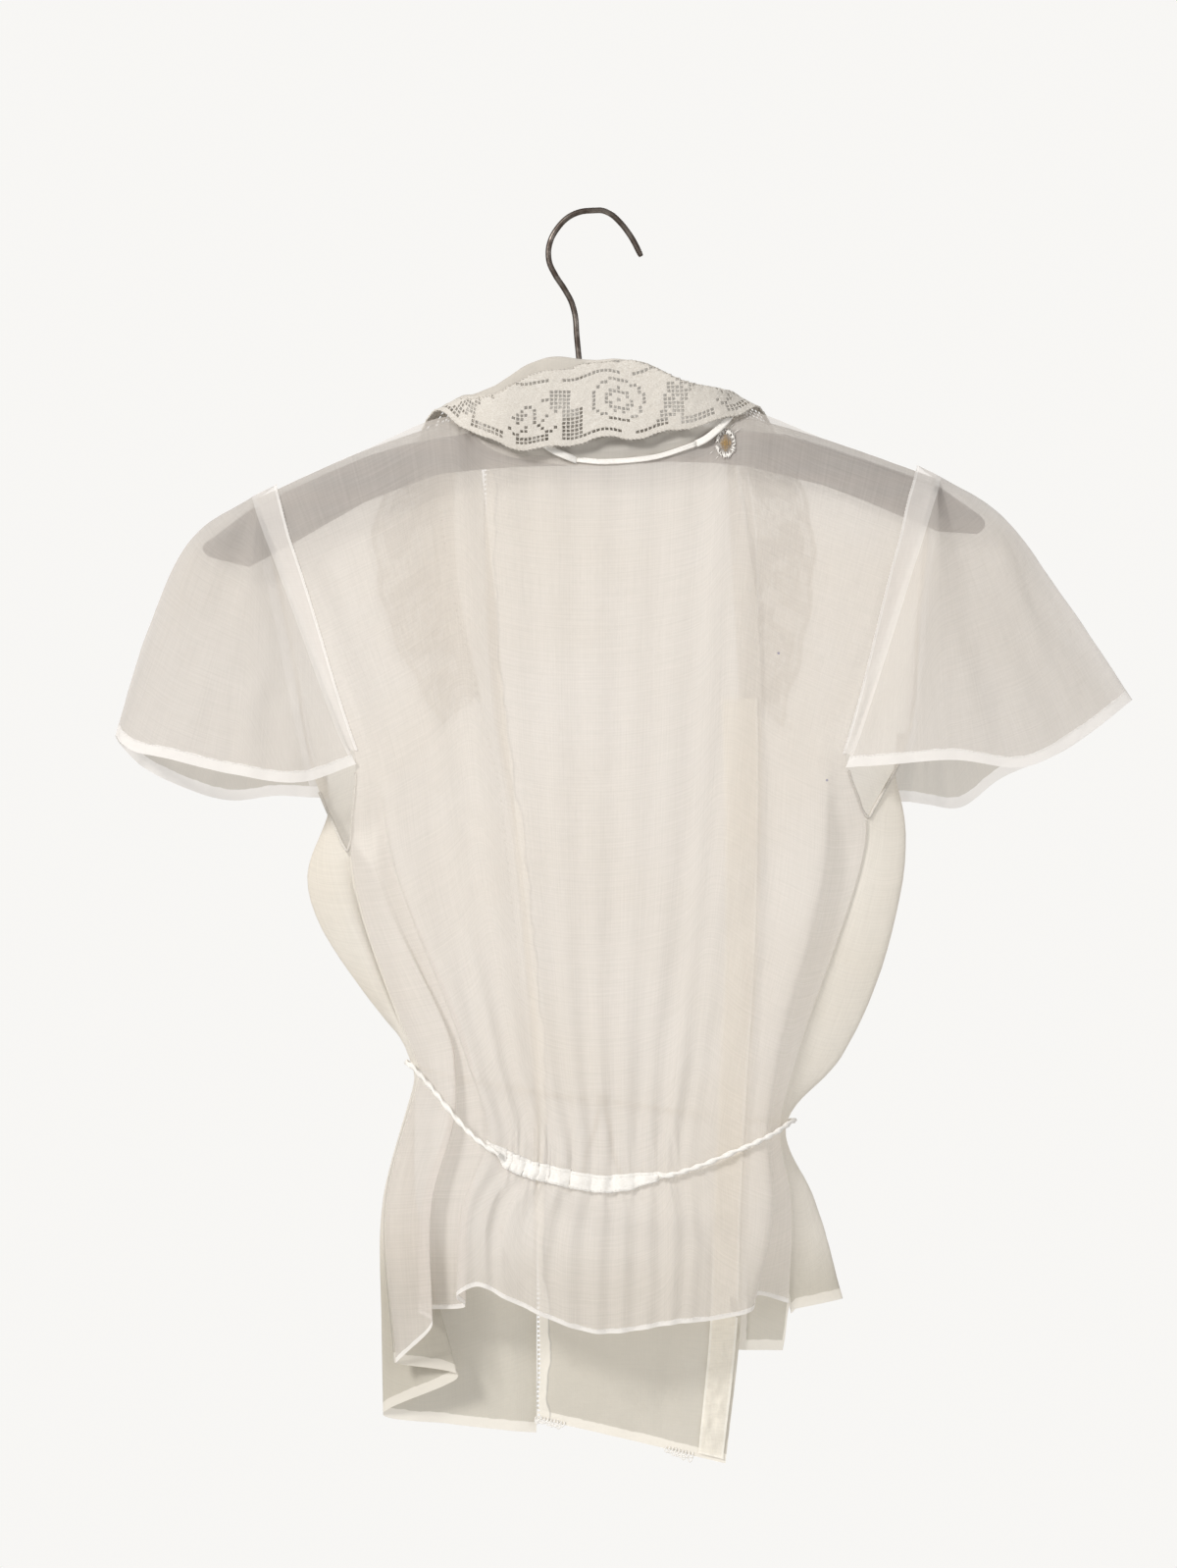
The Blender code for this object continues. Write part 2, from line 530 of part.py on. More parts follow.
def add_hook(finish):
    socket_z = level(WOOD_TOP, HOOK_SOCKET_X)
    route = [Vector((x, 0, z)) for x, z in HOOK_ROUTE]
    route += [Vector((HOOK_SOCKET_X, 0, socket_z)),
              Vector((HOOK_SOCKET_X, 0, socket_z - WIRE_DEPTH + SEAM_GAP))]
    return add_tube("hook", route, WIRE_RADIUS, finish)


def add_knot(finish):
    mesh = bmesh.new()
    bmesh.ops.create_uvsphere(mesh, u_segments=10, v_segments=7, radius=1)
    bmesh.ops.scale(mesh, vec=KNOT_SIZE, verts=mesh.verts)
    bmesh.ops.translate(mesh, vec=KNOT_CENTRE, verts=mesh.verts)
    return add_mesh("tie_knot", mesh, finish)


def underarm_route(back, back_down, front, front_down, edge):
    """U-shaped line round the bottom of an armhole, just inside its two cloth edges."""
    inward = Vector((0, 2 * SEAM_GAP + CLOTH / 2 + BINDING_RADIUS, 0))
    first, last = BINDING_PLACES
    down = [point + inward for place, point in zip(back_down, back[edge]) if first <= place <= last]
    up = [point - inward for place, point in zip(front_down, front[edge]) if first <= place <= last]
    bottom = (down[-1] + up[-1]) / 2 - Vector((0, 0, BINDING_DIP))
    return down + [bottom] + up[::-1]


def build():
    remove_everything()
    sheer = material("Sheer cotton", (0.86, 0.82, 0.76), 0.85, alpha=0.6)
    cream = material("Cream facing", (0.90, 0.84, 0.74), 0.85)
    white = material("White binding", (0.93, 0.91, 0.87), 0.8)
    lace = material("Filet lace", (0.88, 0.84, 0.78), 0.85)
    dark_wood = material("Dark wood", (0.10, 0.07, 0.05), 0.5)
    dark_wire = material("Dark wire", (0.16, 0.13, 0.11), 0.4, metallic=0.9)

    down = places(BACK_DOWN)
    back = back_grid(places(BACK_ACROSS), down)
    add_cloth("back", back, sheer)
    front_down = places(FRONT_DOWN)
    left_front = front_grid(FRONT_LEFT_FOLDS, places(LEFT_ACROSS), front_down, 0)
    right_front = front_grid(FRONT_RIGHT_FOLDS, places(RIGHT_ACROSS), front_down, -1)
    add_cloth("front_left", left_front, sheer)
    add_cloth("front_right", right_front, sheer)

    panel = surface(panel_lines(), places((5, 5)), places((2,) * (len(PANEL_LEFT) - 1)))
    add_cloth("front_panel", panel, sheer)
    facing = surface(panel_lines(), FACING_ACROSS, FACING_DOWN)
    add_cloth("facing_right", moved_out(facing, -LAYER), cream)

    seam_left, seam_right = 0, len(BACK_FOLDS) - 1
    left = sleeve_lines(SLEEVE_LEFT, seam_left, FRONT_LEFT_FOLDS, 0, -1)
    right = sleeve_lines(SLEEVE_RIGHT, seam_right, FRONT_RIGHT_FOLDS, 3, 1)
    sleeve_across = places((2,) * (len(left) - 1))
    add_cloth("sleeve_left", surface(left, sleeve_across, places((2, 2, 2))), sheer)
    add_cloth("sleeve_right", surface(right, sleeve_across, places((2, 2, 2))), sheer)

    sections = [collar_section(*(Vector(point) for point in row)) for row in COLLAR_SECTIONS.values()]
    round_neck = places((2,) * (len(sections) - 1))
    add_cloth("collar", surface(sections, round_neck, range(len(sections[0]))), lace)

    add_hanger(dark_wood)
    add_hook(dark_wire)
    add_tube("tie_left", [Vector(p) for p in TIE_LEFT_ROUTE], TIE_RADIUS, white)
    add_tube("tie_right", [Vector(p) for p in TIE_RIGHT_ROUTE], TIE_RADIUS, white)
    add_tube("tie_end_left", [Vector(p) for p in TIE_END_LEFT], TIE_RADIUS, white)
    add_tube("tie_end_right", [Vector(p) for p in TIE_END_RIGHT], TIE_RADIUS, white)
    add_knot(white)
    for name, front, edge in (("binding_left", left_front, 0), ("binding_right", right_front, -1)):
        add_tube(name, underarm_route(back, down, front, front_down, edge), BINDING_RADIUS, white, 1)

    gathered = [column for u, column in zip(places(BACK_ACROSS), back) if GATHERED[0] <= u <= GATHERED[1]]
    waist = down.index(STATIONS.index("waist"))
    add_cloth("waistband", moved_out(band_strip(gathered, waist), -BAND_LIFT), white)
    crest = down.index(STATIONS.index("crest"))
    neck = [column[crest - 1:crest + 1] for column in back if on_neckline(column[0].x)]
    add_cloth("neck_binding", moved_out(neck, -LAYER), white)


build()
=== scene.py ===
"""The sheer blouse dressed for a close look: fine cloth, filet lace, stitching, wood and wire.

Every cloth sheet follows the same fold lines as its solid, with more points, soft creases and its
own weave. Tables are in millimetres and the meshes in metres.
"""
import math
import random

import bpy
import bmesh
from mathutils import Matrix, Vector, noise


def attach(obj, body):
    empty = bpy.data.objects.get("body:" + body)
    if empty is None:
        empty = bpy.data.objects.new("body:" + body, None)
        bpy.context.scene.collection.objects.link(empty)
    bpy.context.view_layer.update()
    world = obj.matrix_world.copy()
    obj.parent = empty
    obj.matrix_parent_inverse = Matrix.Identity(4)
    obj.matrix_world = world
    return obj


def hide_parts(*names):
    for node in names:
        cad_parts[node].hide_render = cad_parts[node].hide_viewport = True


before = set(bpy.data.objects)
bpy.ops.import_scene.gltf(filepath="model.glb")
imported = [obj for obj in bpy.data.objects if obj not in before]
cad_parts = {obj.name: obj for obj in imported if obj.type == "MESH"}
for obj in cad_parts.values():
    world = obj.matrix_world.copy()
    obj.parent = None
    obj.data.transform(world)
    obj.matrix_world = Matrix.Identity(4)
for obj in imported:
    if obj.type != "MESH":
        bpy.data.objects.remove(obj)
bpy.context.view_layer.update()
random.seed(11)

MM = 0.001

# Out of the back of the blouse, towards the viewer
OUT = Vector((0, -1, 0))
# Millimetres to a pixel of the picture frame, and the pixel of the mount
PIXEL = 0.54
FRAME_ORIGIN = (604, 217.4)
TIE_SIDES = 12

# Driving sizes, in millimetres
CLOTH = 1.0
SEAM_GAP = 0.3
LAYER = CLOTH + SEAM_GAP
BAND_LIFT = LAYER + 0.5
WIRE_RADIUS = 1.6
# How far a sleeve starts outside its armhole, along x and y
SLEEVE_LAP = (2.3, 1.0)
# The sleeves lie on the ends of the wood: lift at the seam, and reach and lift past it
RIDGE_LIFT = 1.2
WOOD_REACH = 30.0
WOOD_CLEAR = 2.0
BINDING_RADIUS = 1.0
# How far the binding dips between the two armhole edges
BINDING_DIP = 4.0
ROLL_RADIUS = 2.3
# A smooth curve's tangent is at most this many times the shorter span beside its point
TANGENT_LIMIT = 2.2
# Where the cloth turns over the wood: depth at the top and at the crest, and the crest's drop
TOP_DEPTH = 0.8
CREST_DEPTH = 7.4
CREST_DROP = 6.0
CREST_DRIFT = 0.04
NECK_DEPTH = 8.8
NECK_CREST = 0.6
# The blade point lies halfway from the top to the armpit, a little less deep than the armpit
BLADE_SHARE = 0.5
BLADE_DEPTH = 0.93
SIDE_GAP = (1.3, 1.8, -0.4)
# Gathers: pitch and depth, depth under the band, fading ends along x, and the places down the
# cloth between which they grow and fade
GATHER_PITCH = 12.0
GATHER_DEPTH = 0.7
BAND_GATHER = 0.5
GATHER_ENDS = ((-58, -48), (46, 62))
GATHER_ABOVE = ((4.2, 5.6), (5.6, 6.0))
GATHER_BELOW = ((6.0, 6.5), (6.8, 8.0))
HEM_FLATTENS = 0.45

# Heights that run across the garment, as (x, z) points from left to right
SHOULDER = [(-211, -177), (-184.5, -157), (-129, -132), (-74.5, -113), (79, -110), (133, -126),
            (189.5, -146), (217, -165)]
NECKLINE = [(-62, -124.5), (-30, -130.5), (1.5, -133.5), (34, -130), (66, -122)]
WOOD_TOP = [(-210.5, -180), (-196, -168.5), (-184.5, -160.5), (-129, -135.5), (-98, -125.5),
            (-74, -122.5), (-40, -115), (0, -110), (40, -113.5), (79, -119.5), (106, -121.5),
            (133, -129.5), (189.5, -149.5), (204, -157), (213, -166)]
BACK_LEVELS = {
    "blade": [(-160, -227), (160, -227)],
    "armpit": [(-130, -300), (140, -302)],
    "ribs": [(-133, -353.5), (-108, -352), (127, -357), (132, -351), (153, -331)],
    "low": [(-98, -460), (0, -466), (112, -463)],
    "waist": [(-95, -470), (-77, -490), (-60, -504.5), (-45, -518), (-30, -524), (5, -531),
              (46, -525), (72, -515), (95, -504.5), (103, -502.5)],
    "hip": [(-112, -541.5), (-70, -541.5), (-45, -549.5), (3, -557.5), (48, -552), (98, -541.5)],
}
FRONT_LEVELS = {
    "blade": [(-160, -233), (180, -207)],
    "armpit": [(-155, -312), (-50, -314), (88, -286), (176, -290)],
    "ribs": [(-157, -364.5), (-133, -354.8), (-101, -364.5), (-49, -365.5), (88, -338.5),
             (133, -336), (153.5, -332), (172.5, -334)],
    "low": [(-100, -460), (-40, -464.5), (88, -469), (137, -464.5)],
    "waist": [(-97, -471), (-70, -477.5), (-39.5, -482), (89, -507), (105, -502.5)],
    "hip": [(-116, -543), (-41, -552), (88, -549.5), (123, -544)],
}

# One row for each fold line or edge, from left to right. Depths are y, and the last column is the
# height of the hem. The left side of the back lies in a stack of folds.
STATIONS = ("top", "crest", "blade", "armpit", "ribs", "low", "waist", "hip", "hem")
FOLD_COLUMNS = ("x_top", "x_armpit", "x_ribs", "x_low", "x_waist", "x_hip", "x_hem",
                "y_armpit", "y_ribs", "y_low", "y_waist", "y_hip", "y_hem", "z_hem")
BACK_FOLDS = {
    "seam_left": (-184.5, -129.5, -132.5, -98.5, -95, -112.5, -107.5, -14, -4, -4, -4, -5, -8, -631),
    "pleat_left": (-182, -126.5, -121, -75.5, -74.5, -87, -87, -14.5, -8, -11, -14, -16, -18, -606.5),
    "tuck_left": (-179.5, -123, -117.5, -76.5, -77, -93, -95, -15, -8, -6.5, -7.5, -8, -7.5, -603),
    "under_left": (-176.5, -120, -111, -67, -60.5, -67, -69.5, -15.5, -8.5, -10, -11, -12, -12, -599.5),
    "fold_left": (-173, -115.5, -108.5, -69, -56, -70, -73.5, -16, -17, -20, -22, -23, -24, -591.5),
    "side_left": (-129, -88.5, -82, -56, -45.5, -59.5, -61.5, -17, -18, -21.5, -23, -26, -27, -586),
    "neck_left": (-74.5, -61.5, -56, -40, -30, -45.5, -48, -18, -20, -23, -24, -27, -29, -592),
    "nape_left": (-62, -52, -47, -33, -25, -37, -39, -18, -20, -23, -24, -28, -30, -596),
    "centre": (1.5, 1.5, 1.5, 3, 5.5, 3, 2, -18, -20, -24, -24, -30, -32, -610.5),
    "nape_right": (66, 57, 54, 44, 39, 40, 39, -18, -20, -23, -24, -29, -31, -606.5),
    "neck_right": (79, 68, 63.5, 53, 46.5, 48.5, 46.5, -18, -20, -23, -24, -29, -31, -605.5),
    "side_right": (133, 103, 100.5, 80, 72.5, 74.5, 70.5, -17, -18, -21, -22, -25, -26, -603.5),
    "fold_right": (178, 129, 127, 101.5, 95.5, 98.5, 87.5, -16, -17, -19, -20, -21, -21, -599.5),
    "under_right": (183, 133.5, 132, 105.5, 97.5, 100.5, 89.5, -15, -9, -11, -11.5, -11.5, -11, -594),
    "seam_right": (189.5, 139, 150, 112.5, 103, 109, 108, -14, -4, -6, -7, -6, -4, -599),
}
FRONT_LEFT_FOLDS = {
    "seam": (-184.5, -153.5, -133.4, -99.6, -96.4, -113, -108, 12, -3, -2.6, -2.6, -2, 0, -633),
    "pleat": (-179.5, -147.5, -143.5, -102.5, -98.5, -97, -74, 14.5, -1, 0.5, 0.5, 3, 1, -639.5),
    "outer": (-174, -141, -157, -101.5, -98, -115.5, -116, 16.5, 5, 5.5, 5, 9, 11, -663.5),
    "middle": (-126.5, -102, -101.5, -72.5, -70, -80.5, -80.5, 15, 17, 14, 13, 17, 20, -670.5),
    "edge": (-74.5, -55, -49, -40, -39.5, -41, -41.5, 17, 18.5, 16, 15, 20, 22, -675),
}
FRONT_RIGHT_FOLDS = {
    "edge": (79, 88.5, 88.5, 89.5, 89, 88, 86, 17, 18.5, 16, 14.5, 17, 18, -630.5),
    "middle": (133, 130, 133, 112.5, 98.5, 106, 112.5, 15, 17, 15, 12, 15, 16, -614),
    "outer": (178.5, 164, 172.5, 137.5, 106.5, 123, 139, 15.5, 6, 3, 0, 4, 5, -595),
    "seam": (189.5, 175, 150.5, 113.5, 104.6, 110.5, 109.5, 10, -3, -4.4, -5, -4, -2, -600),
}

# Centre front panel: points (x, y, z) down its left edge, its middle and its right edge
PANEL_LEFT = ((-66, 12.4, -134), (-66, 18, -212), (-62, 19, -269), (-49, 20.4, -354.5),
              (-43, 19.9, -416), (-38, 17, -482), (-38, 22.2, -552), (-35.5, 21, -611.5),
              (-35.5, 20, -666.5))
PANEL_MIDDLE = ((6, 8.8, -128), (10, 11.5, -212), (14, 12.5, -269), (22, 14, -354.5),
                (25, 14, -416), (25, 12, -482), (24, 14, -552), (22, 15, -611.5),
                (19.5, 16, -678.5))
PANEL_RIGHT = ((77.5, 8.3, -132), (91, 12.6, -212), (94, 14, -266.5), (94, 15, -354.5),
               (92, 15, -416), (87.5, 11.5, -482), (84, 13.5, -552), (82.5, 13, -611.5),
               (74, 13, -691))
# The facing's places across and down the panel
FACING_ACROSS = (1.72, 1.8, 1.88, 1.97)
FACING_DOWN = (2, 2.5, 3, 3.5, 4, 4.5, 5, 5.5, 6, 6.5, 6.9, 7.2, 7.5, 7.75, 7.97)

# Sleeves: each row runs from the armhole to the hem. share is the place down the armhole, from the
# shoulder at 0 to its end at 1; puff is how far the row bows away from a straight line.
SLEEVE_COLUMNS = ("share", "x_hem", "y_hem", "z_hem", "puff_x", "puff_y", "puff_z")
SLEEVE_LEFT = {
    "back": ((0.98, -128.5, -17, -303, 0, 0, 0), (0.66, -157.5, -23, -313, 0, -2, 0),
             (0.34, -195.5, -27, -308.5, 1, -4, 1), (0.13, -229, -25, -300.5, 4, -3, 7),
             (0.04, -251.5, -16, -295.5, -2, -2, 22)),
    "ridge": (0, -263.5, 0, -287, -4, 0, 4),
    "front": ((0.04, -250.5, 15, -304, -2, 2, 22), (0.17, -227.5, 20, -316, 3, 3, 7),
              (0.48, -203, 20, -323, 1, 2, 1), (0.78, -173.5, 16, -320.5, 1, 1, 0),
              (0.98, -155.5, 13.5, -321.5, 0, 0, 0)),
}
SLEEVE_RIGHT = {
    "back": ((0.98, 138, -17, -305, 0, 0, 0), (0.66, 160, -23, -303.5, 0, -2, 0),
             (0.36, 195, -27, -301, -1, -4, 1), (0.14, 235.5, -25, -304.5, -4, -3, 7),
             (0.04, 270.5, -16, -286.5, 2, -2, 22)),
    "ridge": (0, 297.5, 0, -267.5, 0, 0, 4),
    "front": ((0.04, 262.5, 15, -295.5, 2, 2, 22), (0.19, 227.5, 20, -311, -3, 3, 7),
              (0.46, 203, 20, -327.5, -1, 2, 1), (0.74, 187, 16, -325.5, 0, 1, 0),
              (0.98, 176.5, 13.5, -324, 0, 0, 0)),
}
# Collar: each row is a section round the neck, with points (x, y, z) on its neck seam, on its roll
# and on its lace edge
COLLAR_SECTIONS = {
    "tip_left": ((-61.5, 22.5, -267), (-65, 24, -265), (-82, 25, -279.5)),
    "breast_left": ((-74, 19.5, -206.5), (-78, 21.5, -203), (-112, 22, -217)),
    "front_left": ((-76.5, 15, -152.5), (-79, 17.5, -148), (-116, 18, -159)),
    "crest_left": ((-74, 10.2, -123), (-71.5, 12, -116), (-96, 14.5, -128)),
    "shoulder_left": ((-71, 0, -109.5), (-68, -0.5, -101.5), (-84, -0.5, -108)),
    "turn_left": ((-66, -6.5, -117), (-62, -7, -100.5), (-71, -11, -115)),
    "nape_left": ((-51, -11.8, -127), (-53, -12.2, -97), (-56, -18, -124)),
    "back_left": ((-25, -11.8, -132.5), (-26, -12.6, -82), (-29, -18.4, -129)),
    "back": ((1.5, -11.8, -134.5), (1.5, -12.6, -82.5), (1.5, -18.4, -124)),
    "back_right": ((30, -11.8, -131.5), (26, -12.6, -83.5), (27.5, -18.4, -122)),
    "nape_right": ((56, -11.8, -124.5), (54.5, -12.2, -95), (54.5, -17.5, -116)),
    "turn_right": ((70, -6.5, -114.5), (66.5, -6.8, -98), (75.5, -11, -111)),
    "shoulder_right": ((75.5, 0, -106), (74, -0.5, -99), (87, -0.5, -104.5)),
    "crest_right": ((79.5, 10.2, -120), (77.5, 12, -113), (103, 14.5, -125)),
    "front_right": ((86, 15, -163.5), (88.5, 17.5, -159), (120, 18, -170)),
    "breast_right": ((88.5, 19.5, -212), (91.5, 21.5, -208.5), (117.5, 22, -223)),
    "tip_right": ((85.5, 22, -267), (88.5, 23.5, -265), (103.5, 25, -279.5)),
}
# Half the waistband's height along its length, as (x, half) points
BAND_HALF = [(-66, 2.4), (-45, 5), (20, 4.8), (44, 1.4)]
BAND_START = -56

# Routes that are a given line of points
HOOK_ROUTE = [(27, -23.5), (21.5, -13), (15, -4.5), (10.5, -0.5), (6, 1.5), (0, 1.6), (-6, 1),
              (-13, -2), (-19, -8), (-22.5, -14), (-24, -20), (-23.5, -27), (-20.5, -33.5),
              (-15, -42), (-11.5, -48.5), (-9.5, -55.5), (-8.5, -67), (-7, -83), (-6, -97.5)]
HOOK_SOCKET_X = -5.5
TIE_LEFT_ROUTE = [(-50, -28.4, -514.5), (-59, -27.2, -509), (-69, -21.6, -501), (-77, -17.4, -492.5),
                  (-88, -11, -480), (-99.5, -7, -468), (-102, -1, -467), (-101.8, 5.5, -468),
                  (-91, 13.4, -473), (-66, 17, -479), (-40, 19.2, -484), (-18, 18, -487.5),
                  (0.4, 17, -489.5)]
TIE_RIGHT_ROUTE = [(37, -29, -526.5), (46, -28.2, -524.5), (60, -27.2, -520), (76, -26.2, -513.5),
                   (91.5, -24.9, -507), (99.8, -20, -503.5), (106, -12.5, -500.5), (110, -5, -499),
                   (111.5, 3, -499.5), (105, 14, -501), (84, 17.4, -500), (50, 15.6, -496),
                   (11, 16.8, -490.5)]
KNOT_CENTRE = (5.7, 17.1, -490)
KNOT_SIZE = (4.6, 2.6, 4.2)
TIE_END_LEFT = [(4, 16.6, -494.6), (2, 17.4, -505), (-3, 19, -519), (-5, 20.6, -536)]
TIE_END_RIGHT = [(7.4, 16.4, -494.6), (10, 16.6, -506), (12, 17.2, -520), (16, 17.4, -531)]

# Grid steps between neighbouring rows, and between neighbouring heights
BACK_ACROSS = (3, 3, 3, 3, 4, 6, 3, 7, 7, 3, 4, 4, 2, 3)
BACK_DOWN = (3, 2, 2, 4, 4, 4, 3, 3)
FRONT_DOWN = (3, 2, 2, 4, 3, 2, 3, 3)
LEFT_ACROSS = (3, 4, 5, 5)
RIGHT_ACROSS = (5, 5, 3)
GATHERED = (4, 10)


def level(line, x):
    """Height of a line of (x, z) points at x, straight between its points."""
    if x <= line[0][0]:
        return line[0][1]
    for (x0, z0), (x1, z1) in zip(line, line[1:]):
        if x <= x1:
            return z0 + (z1 - z0) * (x - x0) / (x1 - x0)
    return line[-1][1]


def on_neckline(x):
    return NECKLINE[0][0] <= x <= NECKLINE[-1][0]


def blend_points(points, place):
    """Point on a smooth curve through the points; place 2.5 lies halfway from point 2 to 3."""
    last = len(points) - 1
    index = min(int(place), last - 1)
    t = place - index
    here, there = points[index], points[index + 1]
    reach = max((there - here).length, 1e-6)

    def tangent(before, middle, after, other):
        """Tangent at the middle point, kept short where the other span is short."""
        near, far = max((middle - before).length, 1e-6), max((after - middle).length, 1e-6)
        slope = ((middle - before) * (far / near) + (after - middle) * (near / far)) / (near + far)
        return slope * min(reach, TANGENT_LIMIT * (other - middle).length)

    start, end = there - here, there - here
    if index > 0:
        start = tangent(points[index - 1], here, there, points[index - 1])
    if index + 2 <= last:
        end = tangent(here, there, points[index + 2], points[index + 2])
    h1 = 2 * t ** 3 - 3 * t ** 2 + 1
    h2 = t ** 3 - 2 * t ** 2 + t
    h3 = t ** 3 - t ** 2
    return here * h1 + start * h2 + there * (1 - h1) + end * h3


def places(steps):
    """Places along a curve, with the given number of steps in each of its spans."""
    result = [span + step / count for span, count in enumerate(steps) for step in range(count)]
    return result + [float(len(steps))]


def smooth(low, high, value):
    """Soft step from 0 at low to 1 at high."""
    t = min(max((value - low) / (high - low), 0.0), 1.0)
    return t * t * (3 - 2 * t)


def fold_line(row, levels, side):
    """Points down one fold line: top, crest, blade, armpit, ribs, low, waist, hip and hem."""
    cell = dict(zip(FOLD_COLUMNS, row))
    if side < 0 and on_neckline(cell["x_top"]):
        top = Vector((cell["x_top"], side * NECK_DEPTH, level(NECKLINE, cell["x_top"])))
        crest = top + Vector((0, side * NECK_CREST, -CREST_DROP))
    else:
        top = Vector((cell["x_top"], TOP_DEPTH * side, level(SHOULDER, cell["x_top"])))
        drift = CREST_DRIFT * (cell["x_armpit"] - cell["x_top"])
        crest = Vector((cell["x_top"] + drift, CREST_DEPTH * side, top.z - CREST_DROP))
    points = [top, crest]
    armpit_z = level(levels["armpit"], cell["x_armpit"])
    x_blade = crest.x + (cell["x_armpit"] - crest.x) * BLADE_SHARE
    z_blade = top.z + (armpit_z - top.z) * BLADE_SHARE
    points.append(Vector((x_blade, BLADE_DEPTH * cell["y_armpit"], z_blade)))
    for name in STATIONS[STATIONS.index("armpit"):-1]:
        x = cell["x_" + name]
        points.append(Vector((x, cell["y_" + name], level(levels[name], x))))
    points.append(Vector((cell["x_hem"], cell["y_hem"], cell["z_hem"])))
    return points


def fold_table(folds, levels, side):
    return [fold_line(row, levels, side) for row in folds.values()]


def surface(lines, across, down):
    """Grid of points from lines that run down the cloth, smooth both ways."""
    grid = []
    for u in across:
        column = [blend_points([line[station] for line in lines], u) for station in range(len(lines[0]))]
        grid.append([blend_points(column, v) for v in down])
    return grid


def normals(grid):
    """Unit normals of a grid, from its neighbouring points."""
    result = []
    last_u, last_v = len(grid) - 1, len(grid[0]) - 1
    for i, column in enumerate(grid):
        line = []
        for j in range(len(column)):
            along = grid[min(i + 1, last_u)][j] - grid[max(i - 1, 0)][j]
            down = column[min(j + 1, last_v)] - column[max(j - 1, 0)]
            line.append(along.cross(down).normalized())
        result.append(line)
    return result


def moved_out(grid, distance):
    """The grid moved along its normals."""
    return [[point + normal * distance for point, normal in zip(column, line)]
            for column, line in zip(grid, normals(grid))]


def back_grid(across, down):
    """The back with its gathers, which fan out above and below the waistband."""
    lines = fold_table(BACK_FOLDS, BACK_LEVELS, -1)
    grid = surface(lines, across, down)
    waist = STATIONS.index("waist")
    for u, column in zip(across, grid):
        x_waist = blend_points([line[waist] for line in lines], u).x
        in_band = smooth(*GATHER_ENDS[0], x_waist) * (1 - smooth(*GATHER_ENDS[1], x_waist))
        wave = math.cos(2 * math.pi * x_waist / GATHER_PITCH)
        for place, point in zip(down, column):
            above = smooth(*GATHER_ABOVE[0], place) * (1 - smooth(*GATHER_ABOVE[1], place))
            below = smooth(*GATHER_BELOW[0], place)
            below *= 1 - HEM_FLATTENS * smooth(*GATHER_BELOW[1], place)
            point.y += wave * in_band * (GATHER_DEPTH * (above + below) + BAND_GATHER)
    return grid


def front_grid(folds, across, down, seam):
    """A front, whose side seam (column 0 or -1) follows the back's below the armhole."""
    grid = surface(fold_table(folds, FRONT_LEVELS, 1), across, down)
    row = list(BACK_FOLDS.values())[seam]
    back_seam = fold_line(row, BACK_LEVELS, -1)
    outward = -1 if seam == 0 else 1
    step = Vector((outward * SIDE_GAP[0], SIDE_GAP[1], SIDE_GAP[2]))
    for n, place in enumerate(down):
        if place < STATIONS.index("ribs"):
            continue
        shift = blend_points(back_seam, place) + step - grid[seam][n]
        for u, column in zip(across, grid):
            column[n] += shift * max(1 - abs(u - across[seam]), 0) ** 2
    return grid


def panel_lines():
    return [[Vector(point) for point in line] for line in (PANEL_LEFT, PANEL_MIDDLE, PANEL_RIGHT)]


def armhole(folds, levels, side, index, share):
    """Point of an armhole edge: 0 at the shoulder, 1 at the end of the sleeve."""
    line = fold_line(list(folds.values())[index], levels, side)
    return blend_points(line, STATIONS.index("armpit") * share)


def sleeve_lines(rows, back_index, front_folds, front_index, outward):
    """Lines from the armhole to the hem of one sleeve, from its back end over the ridge to its front."""
    lines = []
    sections = [(-1, row) for row in rows["back"]] + [(0, rows["ridge"])]
    sections += [(1, row) for row in rows["front"]]
    for side, row in sections:
        cell = dict(zip(SLEEVE_COLUMNS, row))
        if side == 0:
            start = Vector((armhole(BACK_FOLDS, BACK_LEVELS, -1, back_index, 0).x, 0, 0))
            start.z = level(SHOULDER, start.x) + RIDGE_LIFT
        elif side < 0:
            start = armhole(BACK_FOLDS, BACK_LEVELS, -1, back_index, cell["share"])
        else:
            start = armhole(front_folds, FRONT_LEVELS, 1, front_index, cell["share"])
        start = start + Vector((outward * SLEEVE_LAP[0], side * SLEEVE_LAP[1], 0))
        end = Vector((cell["x_hem"], cell["y_hem"], cell["z_hem"]))
        puff = Vector((cell["puff_x"], cell["puff_y"], cell["puff_z"]))
        near = start.lerp(end, 1 / 3) + puff
        far = start.lerp(end, 2 / 3) + puff / 2
        if side == 0:
            wood_end = start.x + outward * WOOD_REACH
            near = Vector((wood_end, 0, level(SHOULDER, wood_end) + WOOD_CLEAR))
            far = near.lerp(end, 0.5) + puff
        lines.append([start, near, far, end])
    return lines


def collar_section(seam, roll, lace_edge):
    """Stand, round roll and fall of the collar at one place round the neck."""
    up = roll - seam
    stand = up.length - ROLL_RADIUS
    up.normalize()
    out = lace_edge - seam
    out = (out - up * out.dot(up)).normalized()
    centre = seam + up * stand + out * ROLL_RADIUS
    whole_turn = math.acos(up.dot((lace_edge - roll).normalized()))
    points = [seam, seam + up * (stand / 2)]
    for n in range(5):
        turn = whole_turn * n / 4
        points.append(centre - out * (ROLL_RADIUS * math.cos(turn)) + up * (ROLL_RADIUS * math.sin(turn)))
    return points + [points[-1].lerp(lace_edge, 0.5), lace_edge]


